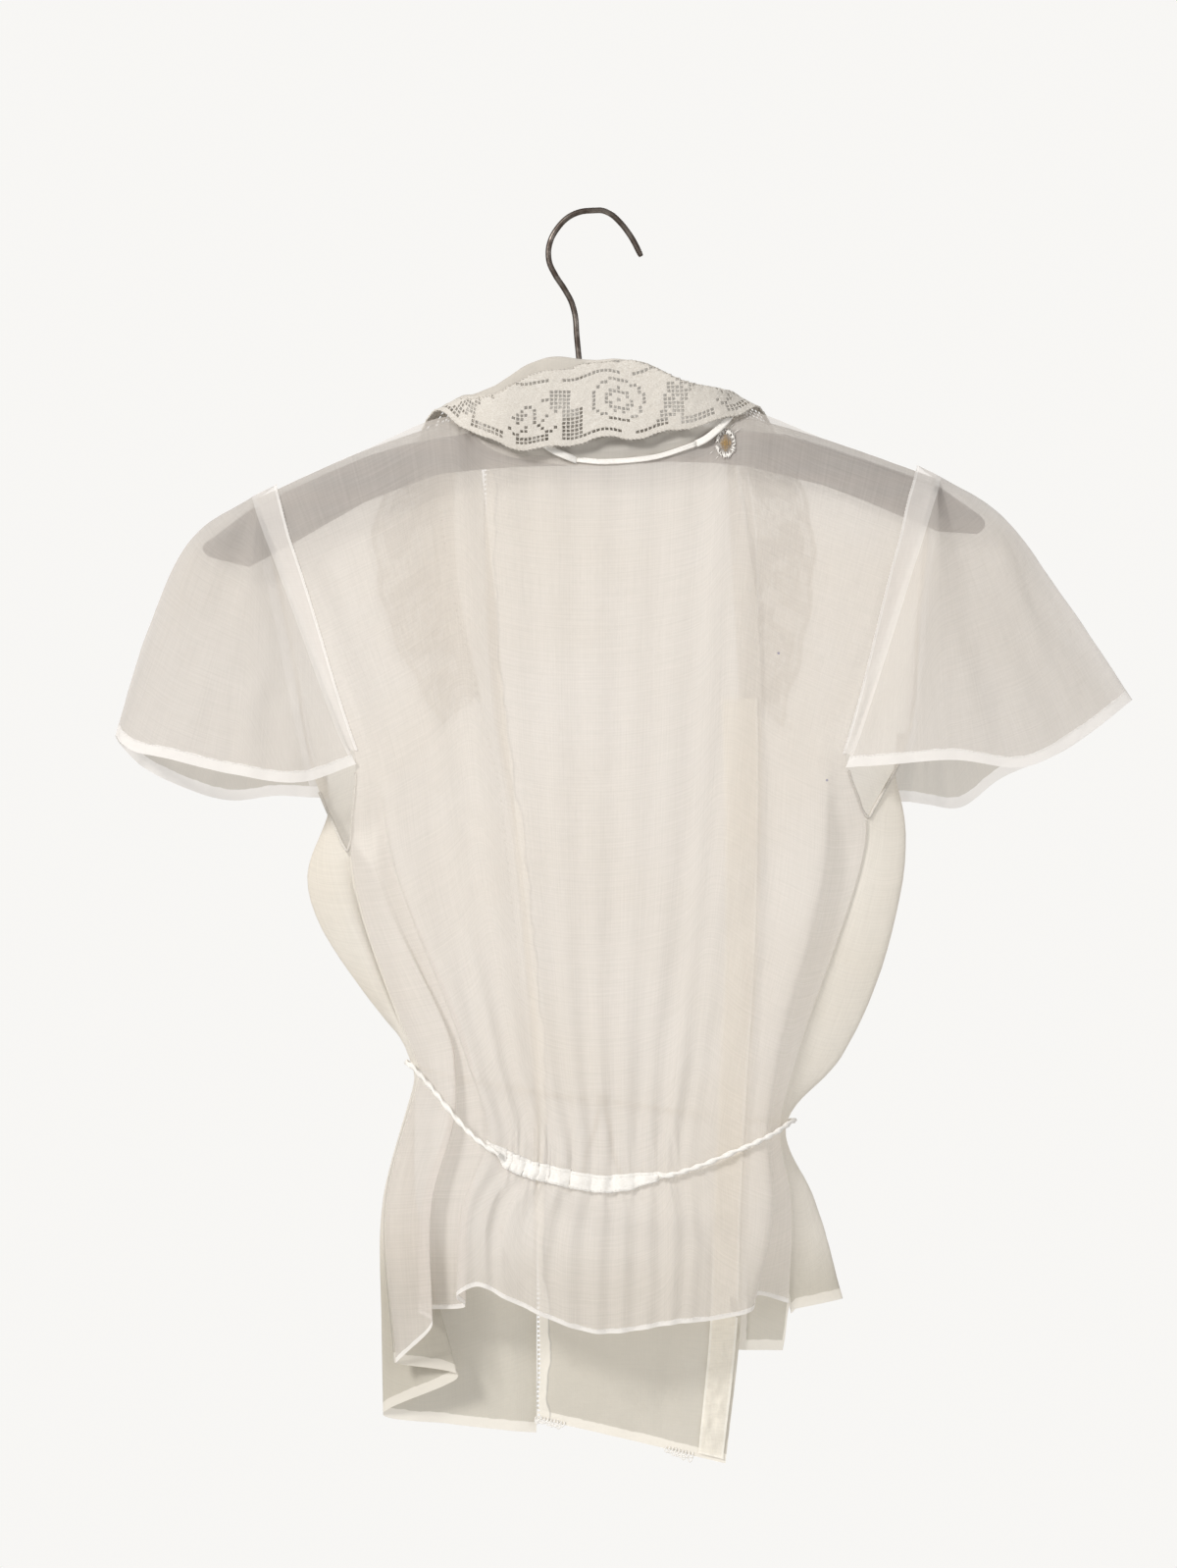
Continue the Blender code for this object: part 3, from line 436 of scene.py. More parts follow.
# Materials
class Nodes:
    """A material under construction, with short calls for the nodes that it needs."""

    def __init__(self, name):
        self.material = bpy.data.materials.new(name)
        self.material.use_nodes = True
        self.tree = self.material.node_tree
        self.shader = self.tree.nodes["Principled BSDF"]

    def put(self, value, socket):
        if isinstance(value, bpy.types.NodeSocket):
            self.tree.links.new(value, socket)
        elif value is not None:
            socket.default_value = value

    def math(self, operation, a, b=None, clamp=False):
        node = self.tree.nodes.new("ShaderNodeMath")
        node.operation = operation
        node.use_clamp = clamp
        self.put(a, node.inputs[0])
        self.put(b, node.inputs[1])
        return node.outputs[0]

    def add(self, a, b, clamp=False):
        return self.math("ADD", a, b, clamp)

    def subtract(self, a, b):
        return self.math("SUBTRACT", a, b)

    def multiply(self, a, b, clamp=False):
        return self.math("MULTIPLY", a, b, clamp)

    def uv(self, name):
        node = self.tree.nodes.new("ShaderNodeUVMap")
        node.uv_map = name
        return node.outputs[0]

    def place(self):
        return self.tree.nodes.new("ShaderNodeTexCoord").outputs["Object"]

    def scaled(self, vector, scale):
        node = self.tree.nodes.new("ShaderNodeMapping")
        self.put(vector, node.inputs["Vector"])
        node.inputs["Scale"].default_value = scale
        return node.outputs[0]

    def axes(self, vector):
        node = self.tree.nodes.new("ShaderNodeSeparateXYZ")
        self.put(vector, node.inputs[0])
        return node.outputs

    def noise(self, vector, scale, detail=2.0, rough=0.5):
        node = self.tree.nodes.new("ShaderNodeTexNoise")
        self.put(vector, node.inputs["Vector"])
        node.inputs["Scale"].default_value = scale
        node.inputs["Detail"].default_value = detail
        node.inputs["Roughness"].default_value = rough
        return node.outputs["Fac"]

    def ramp(self, value, low, high, out_low=0.0, out_high=1.0):
        node = self.tree.nodes.new("ShaderNodeMapRange")
        node.interpolation_type = "SMOOTHSTEP"
        self.put(value, node.inputs["Value"])
        for key, number in zip(("From Min", "From Max", "To Min", "To Max"),
                               (low, high, out_low, out_high)):
            node.inputs[key].default_value = number
        return node.outputs["Result"]

    def mix(self, factor, a, b):
        node = self.tree.nodes.new("ShaderNodeMix")
        node.data_type = "RGBA"
        self.put(factor, node.inputs["Factor"])
        for value, socket in ((a, node.inputs[6]), (b, node.inputs[7])):
            self.put((*value, 1) if isinstance(value, tuple) else value, socket)
        return node.outputs[2]

    def finish(self, colour, rough, height=None, depth=0.0003, **fixed):
        self.put((*colour, 1) if isinstance(colour, tuple) else colour, self.shader.inputs["Base Color"])
        self.put(rough, self.shader.inputs["Roughness"])
        if height is not None:
            bump = self.tree.nodes.new("ShaderNodeBump")
            bump.inputs["Strength"].default_value = 1.0
            bump.inputs["Distance"].default_value = depth
            self.put(height, bump.inputs["Height"])
            self.put(bump.outputs[0], self.shader.inputs["Normal"])
        for key, value in fixed.items():
            self.shader.inputs[key.replace("_", " ")].default_value = value
        return self.material

    def let_light_through(self, colour, share, alpha):
        """Mix in light that comes from behind the cloth, under the same open weave."""
        glow = self.tree.nodes.new("ShaderNodeBsdfTranslucent")
        self.put((*colour, 1) if isinstance(colour, tuple) else colour, glow.inputs["Color"])
        cloth_mix = self.tree.nodes.new("ShaderNodeMixShader")
        cloth_mix.inputs[0].default_value = share
        self.put(self.shader.outputs[0], cloth_mix.inputs[1])
        self.put(glow.outputs[0], cloth_mix.inputs[2])
        holes = self.tree.nodes.new("ShaderNodeBsdfTransparent")
        open_mix = self.tree.nodes.new("ShaderNodeMixShader")
        self.put(alpha, open_mix.inputs[0])
        self.put(holes.outputs[0], open_mix.inputs[1])
        self.put(cloth_mix.outputs[0], open_mix.inputs[2])
        self.put(open_mix.outputs[0], self.tree.nodes["Material Output"].inputs["Surface"])


def weave(n):
    """Uneven threads both ways, from the sheet's flat coordinates in metres: 0.3 to 0.7."""
    flat = n.uv("flat")
    warp = n.noise(n.scaled(flat, (1500, 22, 1)), 1.0, 3, 0.6)
    weft = n.noise(n.scaled(flat, (22, 1500, 1)), 1.0, 3, 0.6)
    slub = n.noise(n.scaled(flat, (45, 700, 1)), 1.0, 1)
    return n.add(n.multiply(n.add(warp, weft), 0.4), n.multiply(slub, 0.2))


def cloth_material(name, colour, warm, alpha, hem_alpha, hem, hem_colour, spread=0.30, crinkle=0.5,
                   dots=0.0, strip=0.0, top=0.0, front_shade=0.0, low=0.0, specks=()):
    """Thin cotton: open weave that lets light through, doubled and paler in its hems, with optional
    painted shade on its front half and below the waist.
    """
    n = Nodes(name)
    threads = weave(n)
    flat, place = n.uv("flat"), n.place()
    edge = n.axes(n.uv("edge"))
    ragged = n.multiply(n.subtract(n.noise(place, 160, 2), 0.5), 0.0016)
    reach = n.add(edge[1] if strip else n.math("MINIMUM", edge[0], edge[1]), ragged)
    doubled = n.ramp(reach, hem - 0.0003, hem + 0.0003, 1, 0)
    if top:
        upper = n.axes(n.uv("upper"))[1]
        facing = n.ramp(upper, top - 0.0003, top + 0.0003, 0.5, 0)
        stitched = n.ramp(n.math("ABSOLUTE", n.subtract(upper, 0.0008)), 0.0006, 0.0010, 1, 0)
        doubled = n.math("MAXIMUM", doubled, n.math("MAXIMUM", facing, stitched))
    age = n.ramp(n.noise(place, 9, 3), 0.35, 0.7)
    tone = n.mix(age, colour, warm)
    tone = n.mix(n.ramp(threads, 0.35, 0.65, 0.06, 0.0), tone, (0.5, 0.46, 0.40))
    # Painted shade: where the sheet lies on the front side (y from -2 to 8 mm), away from the viewer and
    # in the back's shadow, its colour is darkened to the given share
    if front_shade:
        front = n.ramp(n.axes(place)[1], -0.002, 0.008)
        tone = n.mix(front, tone, tuple(c * front_shade * w for c, w in zip(colour, (1, 0.975, 0.90))))
    # Painted shade: below a height of -0.555 to -0.60 m the colour is darkened to the given share, for the
    # lower fronts' inside faces in the shadow of the back
    if low:
        below = n.ramp(n.axes(place)[2], -0.60, -0.555, 1, 0)
        tone = n.mix(below, tone, tuple(c * low * w for c, w in zip(colour, (1, 0.985, 0.93))))
    tone = n.mix(doubled, tone, hem_colour)
    for x, z in specks:
        across = n.subtract(n.axes(place)[0], x * MM)
        upward = n.subtract(n.axes(place)[2], z * MM)
        away = n.add(n.multiply(across, across), n.multiply(upward, upward))
        tone = n.mix(n.ramp(away, 0.0004 ** 2, 0.0009 ** 2, 0.8, 0), tone, (0.10, 0.12, 0.34))
    cover = n.add(n.multiply(n.subtract(threads, 0.5), spread), alpha, True)
    # The painted-shade zone on the front half is also made more opaque
    if front_shade:
        cover = n.add(cover, n.multiply(front, 0.22), True)
    # The painted-shade zone below the waist is also made more opaque
    if low:
        cover = n.add(cover, n.multiply(below, 0.12), True)
    cover = n.add(cover, n.multiply(n.subtract(age, 0.5), 0.05), True)
    if strip:
        wavy = n.add(edge[0], n.multiply(n.subtract(n.noise(place, 55, 2), 0.5), 0.008))
        backed = n.multiply(n.ramp(wavy, strip - 0.0003, strip + 0.0003, 0.85, 0),
                        n.ramp(edge[0], dots - 0.0003, dots + 0.0006, 0, 1))
        tone = n.mix(backed, tone, hem_colour)
        line = n.ramp(n.math("ABSOLUTE", n.subtract(wavy, strip)), 0.0003, 0.0008, 0.5, 0)
        tone = n.mix(line, tone, tuple(c * 0.5 for c in colour))
        cover = n.add(cover, n.multiply(backed, n.subtract(hem_alpha, cover)), True)
    solid = n.subtract(hem_alpha, cover)
    cover = n.add(cover, n.multiply(doubled, solid), True)
    if dots:
        along = n.math("FRACT", n.multiply(n.axes(flat)[1], 1 / 0.0026))
        hole = n.multiply(n.ramp(n.math("ABSOLUTE", n.subtract(along, 0.5)), 0.18, 0.26, 1, 0),
                      n.ramp(n.math("ABSOLUTE", n.subtract(edge[0], dots)), 0.0006, 0.0009, 1, 0))
        cover = n.multiply(cover, n.subtract(1.0, hole), True)
    wrinkle = n.noise(place, 55, 4, 0.55)
    height = n.add(n.multiply(threads, 0.12), n.multiply(wrinkle, crinkle * 4))
    rough = n.ramp(wrinkle, 0.2, 0.8, 0.78, 0.92)
    n.finish(tone, rough, height, 0.0006, Sheen_Weight=0.12, Specular_IOR_Level=0.25)
    n.let_light_through(tone, 0.3, cover)
    return n.material


def thread_material(name, colour, deep, scale):
    """Close cotton threads, for lace, tape and stitching."""
    n = Nodes(name)
    place = n.place()
    fibre = n.noise(n.scaled(place, (1, 1, 2.2)), scale, 3, 0.6)
    age = n.noise(place, 25, 2)
    tone = n.mix(n.ramp(fibre, 0.3, 0.7), deep, colour)
    tone = n.mix(n.ramp(age, 0.45, 0.75, 0, 0.35), tone, deep)
    return n.finish(tone, n.ramp(fibre, 0.3, 0.7, 0.95, 0.8), fibre, 0.0003,
                    Sheen_Weight=0.1, Specular_IOR_Level=0.25)


def wood_material():
    """Dark old hardwood, its grain along the bar, with paler rubbed edges."""
    n = Nodes("Dark wood finish")
    place = n.place()
    grain = n.noise(n.scaled(place, (6, 130, 130)), 1.0, 5, 0.65)
    pores = n.noise(n.scaled(place, (40, 900, 900)), 1.0, 2)
    worn = n.noise(place, 14, 3)
    tone = n.mix(n.ramp(grain, 0.3, 0.7), (0.030, 0.019, 0.013), (0.085, 0.050, 0.032))
    tone = n.mix(n.ramp(worn, 0.55, 0.8, 0, 0.5), tone, (0.15, 0.095, 0.06))
    height = n.add(grain, n.multiply(pores, 0.4))
    return n.finish(tone, n.ramp(worn, 0.3, 0.8, 0.5, 0.36), height, 0.0004,
                    Coat_Weight=0.15, Coat_Roughness=0.35)


def wire_material():
    """Browned steel wire, rubbed bright in places."""
    n = Nodes("Dark wire finish")
    place = n.place()
    patina = n.noise(place, 180, 4, 0.6)
    drawn = n.noise(n.scaled(place, (1500, 1500, 60)), 1.0, 2)
    tone = n.mix(n.ramp(patina, 0.35, 0.7), (0.075, 0.058, 0.048), (0.20, 0.175, 0.155))
    return n.finish(tone, n.ramp(patina, 0.3, 0.75, 0.5, 0.3),
                    n.add(patina, n.multiply(drawn, 0.3)), 0.00015, Metallic=0.85)


# Sheets
def fine(steps, factor):
    return places([count * factor for count in steps])


def bumps(point, creases):
    """Depth of the given soft creases at a point, in millimetres."""
    depth = 0.0
    for (x0, z0), (x1, z1), width, height in creases:
        dx, dz = x1 - x0, z1 - z0
        length = math.hypot(dx, dz)
        t = ((point.x - x0) * dx + (point.z - z0) * dz) / length ** 2
        if -0.2 < t < 1.2:
            wander = width * 0.8 * noise.noise(Vector((t * 3.0, x0 * 0.1, z0 * 0.1)))
            across = ((point.x - x0) * dz - (point.z - z0) * dx) / length + wander
            if abs(across) < 3.2 * width:
                fade = smooth(-0.2, 0.25, t) * (1 - smooth(0.75, 1.2, t))
                depth += height * fade * math.exp(-(across / width) ** 2)
    return depth


def pushed(grid, depth_of):
    """The grid moved along its normals by depth_of(point, i, j)."""
    return [[point + normal * depth_of(point, i, j) for j, (point, normal) in enumerate(zip(column, line))]
            for i, (column, line) in enumerate(zip(grid, normals(grid)))]


def lengths(points):
    total, result = 0.0, [0.0]
    for a, b in zip(points, points[1:]):
        total += (b - a).length
        result.append(total)
    return result


def placed(name, mesh, finish, node):
    """A named piece of the part from a bmesh in metres, in the place of a CAD node if one is named."""
    data = bpy.data.meshes.new(name)
    mesh.to_mesh(data)
    mesh.free()
    data.materials.append(finish)
    made = bpy.data.objects.new(name, data)
    bpy.context.collection.objects.link(made)
    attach(made, "root")
    if node:
        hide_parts(node)
    return made


def cloth(name, grid, finish, edges, node, keep=None):
    """One thin sheet of cloth on a grid of points, with the size it was cut to worked out."""
    down = [lengths(column) for column in grid]
    rows = [lengths([column[j] for column in grid]) for j in range(len(grid[0]))]
    count = len(grid)
    steps = [sum(row[i] for row in rows) / len(rows) for i in range(count)]
    mesh = bmesh.new()
    flat = mesh.loops.layers.uv.new("flat")
    edge = mesh.loops.layers.uv.new("edge")
    upper = mesh.loops.layers.uv.new("upper")
    verts = [[mesh.verts.new(point * MM) for point in column] for column in grid]

    def sides(i, j):
        away = [1.0, 1.0]
        if "left" in edges:
            away[0] = min(away[0], rows[j][i] * MM)
        if "right" in edges:
            away[0] = min(away[0], (rows[j][-1] - rows[j][i]) * MM)
        if "hem" in edges:
            away[1] = min(away[1], (down[i][-1] - down[i][j]) * MM)
        return away

    for i in range(count - 1):
        for j in range(len(grid[0]) - 1):
            if keep and not keep(i, j):
                continue
            corners = ((i, j), (i + 1, j), (i + 1, j + 1), (i, j + 1))
            face = mesh.faces.new([verts[a][b] for a, b in corners])
            face.smooth = True
            for loop, (a, b) in zip(face.loops, corners):
                loop[flat].uv = (steps[a] * MM, down[a][b] * MM)
                loop[edge].uv = sides(a, b)
                loop[upper].uv = (rows[b][a] * MM, down[a][b] * MM)
    loose = [vert for vert in mesh.verts if not vert.link_faces]
    bmesh.ops.delete(mesh, geom=loose, context="VERTS")
    area = sum(face.calc_area() for face in mesh.faces)
    made = placed(name, mesh, finish, node)
    wide = max(row[-1] for row in rows) * MM
    tall = max(column[-1] for column in down) * MM
    if area < 0.4 * wide * tall:
        wide = sum(row[-1] for row in rows) / len(rows) * MM
        tall = area / wide


def solid_piece(name, mesh, finish, node=None):
    """A closed or threadlike piece from a bmesh in millimetres."""
    bmesh.ops.scale(mesh, vec=(MM, MM, MM), verts=mesh.verts)
    for face in mesh.faces:
        face.smooth = True
    return placed(name, mesh, finish, node)


def frames(route):
    """A steady sideways and upward direction at each point of a route."""
    result, side = [], None
    for n, point in enumerate(route):
        along = (route[min(n + 1, len(route) - 1)] - route[max(n - 1, 0)]).normalized()
        if side is None:
            side = along.cross(Vector((0, 0, 1)) if abs(along.z) < 0.9 else Vector((1, 0, 0)))
        side = (side - along * side.dot(along)).normalized()
        result.append((side, along.cross(side)))
    return result


def sweep(mesh, route, section):
    """Sweep section(n, share) -> list of (a, b) offsets along a route, with closed ends."""
    rings = []
    total = len(route) - 1
    for n, (point, (side, up)) in enumerate(zip(route, frames(route))):
        rings.append([mesh.verts.new(point + side * a + up * b) for a, b in section(n, n / total)])
    count = len(rings[0])
    for ring, following in zip(rings, rings[1:]):
        for k in range(count):
            m = (k + 1) % count
            mesh.faces.new((ring[k], ring[m], following[m], following[k]))
    mesh.faces.new(rings[0][::-1])
    mesh.faces.new(rings[-1])


def round_section(radius, sides):
    circle = [(math.cos(2 * math.pi * k / sides), math.sin(2 * math.pi * k / sides)) for k in range(sides)]
    return lambda n, share: [(a * radius, b * radius) for a, b in circle]


def twisted_section(radius, pitch, route):
    """A narrow folded strip twisted on itself: two lobes that turn along the route."""
    along = lengths(route)

    def section(n, share):
        s = along[n]
        turn = 2 * math.pi * (s / pitch + 0.35 * noise.noise(Vector((s * 0.03, 4.2, 0))))
        size = radius * (1 + 0.12 * noise.noise(Vector((s * 0.11, 1.7, 0))))
        result = []
        for k in range(TIE_SIDES):
            angle = 2 * math.pi * k / TIE_SIDES
            reach = size * (0.80 + 0.30 * math.cos(2 * (angle - turn)))
            result.append((reach * math.cos(angle), reach * math.sin(angle)))
        return result
    return section


def stitches(mesh, route, pitch, long, thick):
    """A row of small stitches along a route of points: each a slim spindle."""
    along = lengths(route)
    position, n = pitch * 0.5, 0
    while position < along[-1]:
        while along[n + 1] < position:
            n += 1
        share = (position - along[n]) / (along[n + 1] - along[n])
        centre = route[n].lerp(route[n + 1], share)
        forward = (route[n + 1] - route[n]).normalized()
        centre = centre + OUT * thick * 0.5
        spindle(mesh, centre - forward * long / 2, centre + forward * long / 2, thick)
        position += pitch * (0.85 + 0.3 * random.random())


def spindle(mesh, start, end, thick):
    """One stitch: a slim eight-sided spindle from start to end."""
    forward = (end - start).normalized()
    side = forward.cross(OUT).normalized()
    up = side.cross(forward)
    middle = (start + end) / 2
    ring = [mesh.verts.new(middle + side * a * thick + up * b * thick)
            for a, b in ((0.5, 0), (0, 0.5), (-0.5, 0), (0, -0.5))]
    tips = [mesh.verts.new(start), mesh.verts.new(end)]
    for k in range(4):
        m = (k + 1) % 4
        mesh.faces.new((ring[k], ring[m], tips[1]))
        mesh.faces.new((ring[m], ring[k], tips[0]))


def curve_points(points, steps):
    points = [Vector(point) for point in points]
    return [blend_points(points, place) for place in places([steps] * (len(points) - 1))]


def photo(px, py):
    """x and z in millimetres of a place in the picture frame, 1200 wide and 1598 high."""
    return (px - FRAME_ORIGIN[0]) * PIXEL, (FRAME_ORIGIN[1] - py) * PIXEL


def crease(x0, y0, x1, y1, width, depth):
    return photo(x0, y0), photo(x1, y1), width, depth


# Looks
# The sleeves' cloth gets painted shade on its front half, away from the viewer
COTTON = cloth_material("Sheer cotton cloth", (0.77, 0.73, 0.695), (0.75, 0.705, 0.66), 0.57, 0.90,
                        hem=0.0062, hem_colour=(0.88, 0.855, 0.83), top=0.0150, front_shade=0.74)
BODICE = cloth_material("Back cotton cloth", (0.81, 0.765, 0.725), (0.79, 0.74, 0.69), 0.57, 0.92,
                        hem=0.0026, hem_colour=(0.90, 0.875, 0.85),
                        specks=(photo(792, 667), photo(841, 795)))
# The fronts and panel get painted shade below the waist (low)
FRONT = cloth_material("Front cotton cloth", (0.82, 0.785, 0.725), (0.79, 0.745, 0.67), 0.86, 0.95,
                       hem=0.0058, hem_colour=(0.86, 0.82, 0.745), low=0.76)
PANEL = cloth_material("Panel cotton cloth", (0.80, 0.765, 0.71), (0.76, 0.72, 0.645), 0.86, 0.95,
                       hem=0.0052, hem_colour=(0.88, 0.835, 0.75), dots=0.0012, strip=0.0068, low=0.79)
FACING = cloth_material("Cream facing cloth", (0.95, 0.91, 0.825), (0.93, 0.88, 0.775), 0.97, 0.99,
                        hem=0.0012, hem_colour=(0.96, 0.93, 0.86), crinkle=0.9)
COLLAR = cloth_material("Collar cotton cloth", (0.70, 0.665, 0.61), (0.67, 0.63, 0.57), 0.88, 0.97,
                        hem=0.002, hem_colour=(0.74, 0.70, 0.64), spread=0.2)
BINDING = thread_material("White tape", (0.88, 0.86, 0.83), (0.80, 0.77, 0.72), 700)
LACE = thread_material("Filet lace thread", (0.68, 0.65, 0.60), (0.54, 0.50, 0.445), 1100)
THREAD = thread_material("White stitches", (0.94, 0.92, 0.89), (0.82, 0.79, 0.74), 1500)
BROWN_THREAD = thread_material("Yellow brown thread", (0.62, 0.42, 0.17), (0.42, 0.26, 0.10), 1500)
WOOD = wood_material()
WIRE = wire_material()


# Back
BACK_CREASES = [
    crease(420, 785, 500, 855, 5, 1.3), crease(570, 760, 612, 802, 4, 1.0),
    crease(372, 640, 520, 720, 9, 1.0), crease(520, 720, 545, 960, 10, 1.1),
    crease(455, 880, 560, 1090, 10, 1.6), crease(780, 700, 800, 930, 8, 1.0),
    crease(850, 800, 740, 980, 10, 1.2), crease(820, 905, 760, 1110, 9, 1.4),
    crease(640, 860, 600, 1070, 12, 1.0), crease(700, 930, 660, 1120, 9, 1.3),
    crease(500, 1000, 545, 1150, 7, 1.4), crease(735, 1020, 700, 1150, 7, 1.3),
    crease(513, 1197, 508, 1258, 4, 1.7), crease(508, 1250, 540, 1303, 4, 1.7),
    crease(646, 1279, 665, 1318, 3.5, 1.3), crease(700, 1200, 735, 1290, 5, 1.4),
    crease(575, 1215, 560, 1310, 4, 1.1), crease(735, 520, 850, 640, 11, 0.8),
    crease(470, 520, 400, 650, 11, 0.8),
]
down = fine(BACK_DOWN, 5)
across = fine(BACK_ACROSS, 4)
back = back_grid(across, down)


def back_depth(point, i, j):
    """Soft ripples and creases, held back among the close folds at the sides."""
    free = smooth(4.6, 5.4, across[i]) * (1 - smooth(10.7, 11.3, across[i]))
    low = smooth(3, 5.5, down[j])
    ripple = 1.3 * noise.noise(Vector((point.x * 0.022, 0.5, point.z * 0.012)))
    ripple += 0.7 * low * noise.noise(Vector((point.x * 0.07, 2.5, point.z * 0.017)))
    gather = smooth(4.9, 5.9, down[j]) * (1 - smooth(6.2, 7.3, down[j])) * smooth(-56, -44, point.x)
    gather *= 1 - smooth(40, 60, point.x)
    fan = point.x + 0.35 * (down[j] - 6) * point.x
    pucker = noise.noise(Vector((point.x * 0.45 - 0.10 * fan, 7.5, down[j] * 0.6)))
    pucker = (abs(pucker) - 0.22) * 1.6
    gather *= 0.10 + 0.90 * math.exp(-((down[j] - 6) / 0.34) ** 2)
    near_band = 1 - 0.75 * math.exp(-((down[j] - 6) / 0.10) ** 2)
    small = 0.12 * noise.noise(Vector((point.x * 0.2, 1.5, point.z * 0.2)))
    sides = 0.25 * noise.noise(Vector((point.x * 0.15, 3.5, point.z * 0.02)))
    return small + sides * (1 - free) + free * (ripple * 0.8 + 3.2 * gather * pucker * near_band
                                                + bumps(point, BACK_CREASES))


back = pushed(back, back_depth)
cloth("back_cloth", back, BODICE, ("hem",), "back")

# Fronts and panel
front_down = fine(FRONT_DOWN, 5)
back_edges = {-1: fold_line(list(BACK_FOLDS.values())[0], BACK_LEVELS, -1),
              1: fold_line(list(BACK_FOLDS.values())[-1], BACK_LEVELS, -1)}
LEFT_CREASES = [
    crease(345, 900, 398, 1000, 6, 1.1), crease(440, 1120, 436, 1330, 5, 1.0),
    crease(500, 1330, 515, 1450, 6, 1.3), crease(430, 1360, 400, 1440, 5, 0.8),
    crease(480, 760, 520, 1060, 12, 1.4), crease(440, 640, 500, 980, 12, 1.2),
]
RIGHT_CREASES = [
    crease(786, 1169, 805, 1242, 4, 1.2), crease(800, 1236, 824, 1290, 4, 1.2),
    crease(880, 800, 850, 1000, 7, 1.2), crease(800, 660, 790, 1000, 9, 1.2),
    crease(840, 1190, 850, 1300, 5, 1.0),
]


# The right front's low end: the flap's inner edge and height, its step along x, and the height and
# slope of the hem outside it. Only what lies below the start is drawn to the new hem.
FLAP_FROM = 84
FLAP_HEIGHT = -629
FLAP_STEP = (106, 110)
OUTER_HEM = (109, -603, 0.17)
FLAP_START = -560
# Extra rows that carry each front's free edge on, as distances from it
LEFT_LAPS = (5, 10.5)
RIGHT_LAPS = (3, 6)


def stepped_hem(column):
    """A short square flap inside, and a higher hem outside."""
    end = column[-1]
    if end.x < FLAP_FROM or end.z > -590:
        return column
    outside = smooth(*FLAP_STEP, end.x)
    x, z, slope = OUTER_HEM
    goal = (1 - outside) * FLAP_HEIGHT + outside * (z + slope * (end.x - x))
    stretch = (goal - FLAP_START) / (end.z - FLAP_START)
    return [Vector((p.x, p.y, FLAP_START + (p.z - FLAP_START) * stretch)) if p.z < FLAP_START else p
            for p in column]


def front_cloth(name, folds, across_fine, seam, side, creases, node):
    grid = front_grid(folds, across_fine, front_down, seam)
    last = len(folds) - 1

    def depth(point, i, j):
        away = across_fine[i] if seam == 0 else last - across_fine[i]
        free = smooth(1.2, 2.2, away) if seam == 0 else smooth(0.4, 1.2, away)
        ripple = 1.4 * noise.noise(Vector((point.x * 0.025, 11.5, point.z * 0.013)))
        ripple += 0.8 * noise.noise(Vector((point.x * 0.07, 12.5, point.z * 0.02)))
        small = 0.15 * noise.noise(Vector((point.x * 0.2, 13.5, point.z * 0.2)))
        return small + free * (ripple + bumps(point, creases)) * smooth(0.5, 2.0, front_down[j])

    grid = pushed(grid, depth)
    if seam:
        grid = [stepped_hem(column) for column in grid]
    free, beside = (grid[-1], grid[-2]) if seam == 0 else (grid[0], grid[1])
    laps = [[point + (point - other).normalized() * wide + Vector((0, wide / 6, 0))
             for point, other in zip(free, beside)] for wide in (LEFT_LAPS if seam == 0 else RIGHT_LAPS)]
    grid = grid + laps if seam == 0 else laps[::-1] + grid
    top_row = [column[0] + Vector((0, -2 * TOP_DEPTH, 0)) for column in grid]
    grid = [[top] + column for top, column in zip(top_row, grid)]
    ribs = STATIONS.index("ribs")
    joined = []
    for j, point in enumerate(grid[seam]):
        place = front_down[max(j - 1, 0)]
        joined.append(blend_points(back_edges[side], place) if place >= ribs - 1e-6 else point.copy())
    first = 1 + next(n for n, place in enumerate(front_down) if place >= ribs - 1e-6)
    if seam == 0:
        grid = [joined] + grid
        skip = 0
    else:
        grid = grid + [joined]
        skip = len(grid) - 2
    cloth(name, grid, FRONT, ("hem",) if seam == 0 else ("left", "hem"), node,
          keep=lambda i, j: i != skip or j >= first)


front_cloth("front_left_cloth", FRONT_LEFT_FOLDS, fine(LEFT_ACROSS, 4), 0, -1, LEFT_CREASES, "front_left")
front_cloth("front_right_cloth", FRONT_RIGHT_FOLDS, fine(RIGHT_ACROSS, 4), -1, 1, RIGHT_CREASES,
            "front_right")

PANEL_CREASES = [
    crease(577, 1352, 604, 1407, 6, 2.0), crease(600, 1400, 666, 1464, 7, 2.0),
    crease(640, 1350, 700, 1400, 8, 1.2), crease(560, 1370, 548, 1440, 4, 1.0),
    crease(690, 1360, 672, 1470, 6, 1.0), crease(620, 760, 640, 1100, 12, 1.3),
    crease(720, 740, 700, 1000, 12, 1.2),
]


def panel_depth(point, i, j):
    ripple = 1.5 * noise.noise(Vector((point.x * 0.03, 21.5, point.z * 0.012)))
    return ripple + 0.5 * noise.noise(Vector((point.x * 0.09, 22.5, point.z * 0.05))) \
        + bumps(point, PANEL_CREASES)


panel_across = [max(place, 0.085) for place in fine((5, 5), 6)]
panel_down = fine((2,) * (len(PANEL_LEFT) - 1), 10)
panel = pushed(surface(panel_lines(), panel_across, panel_down), panel_depth)
cloth("panel_cloth", panel, PANEL, ("left", "hem"), "front_panel")

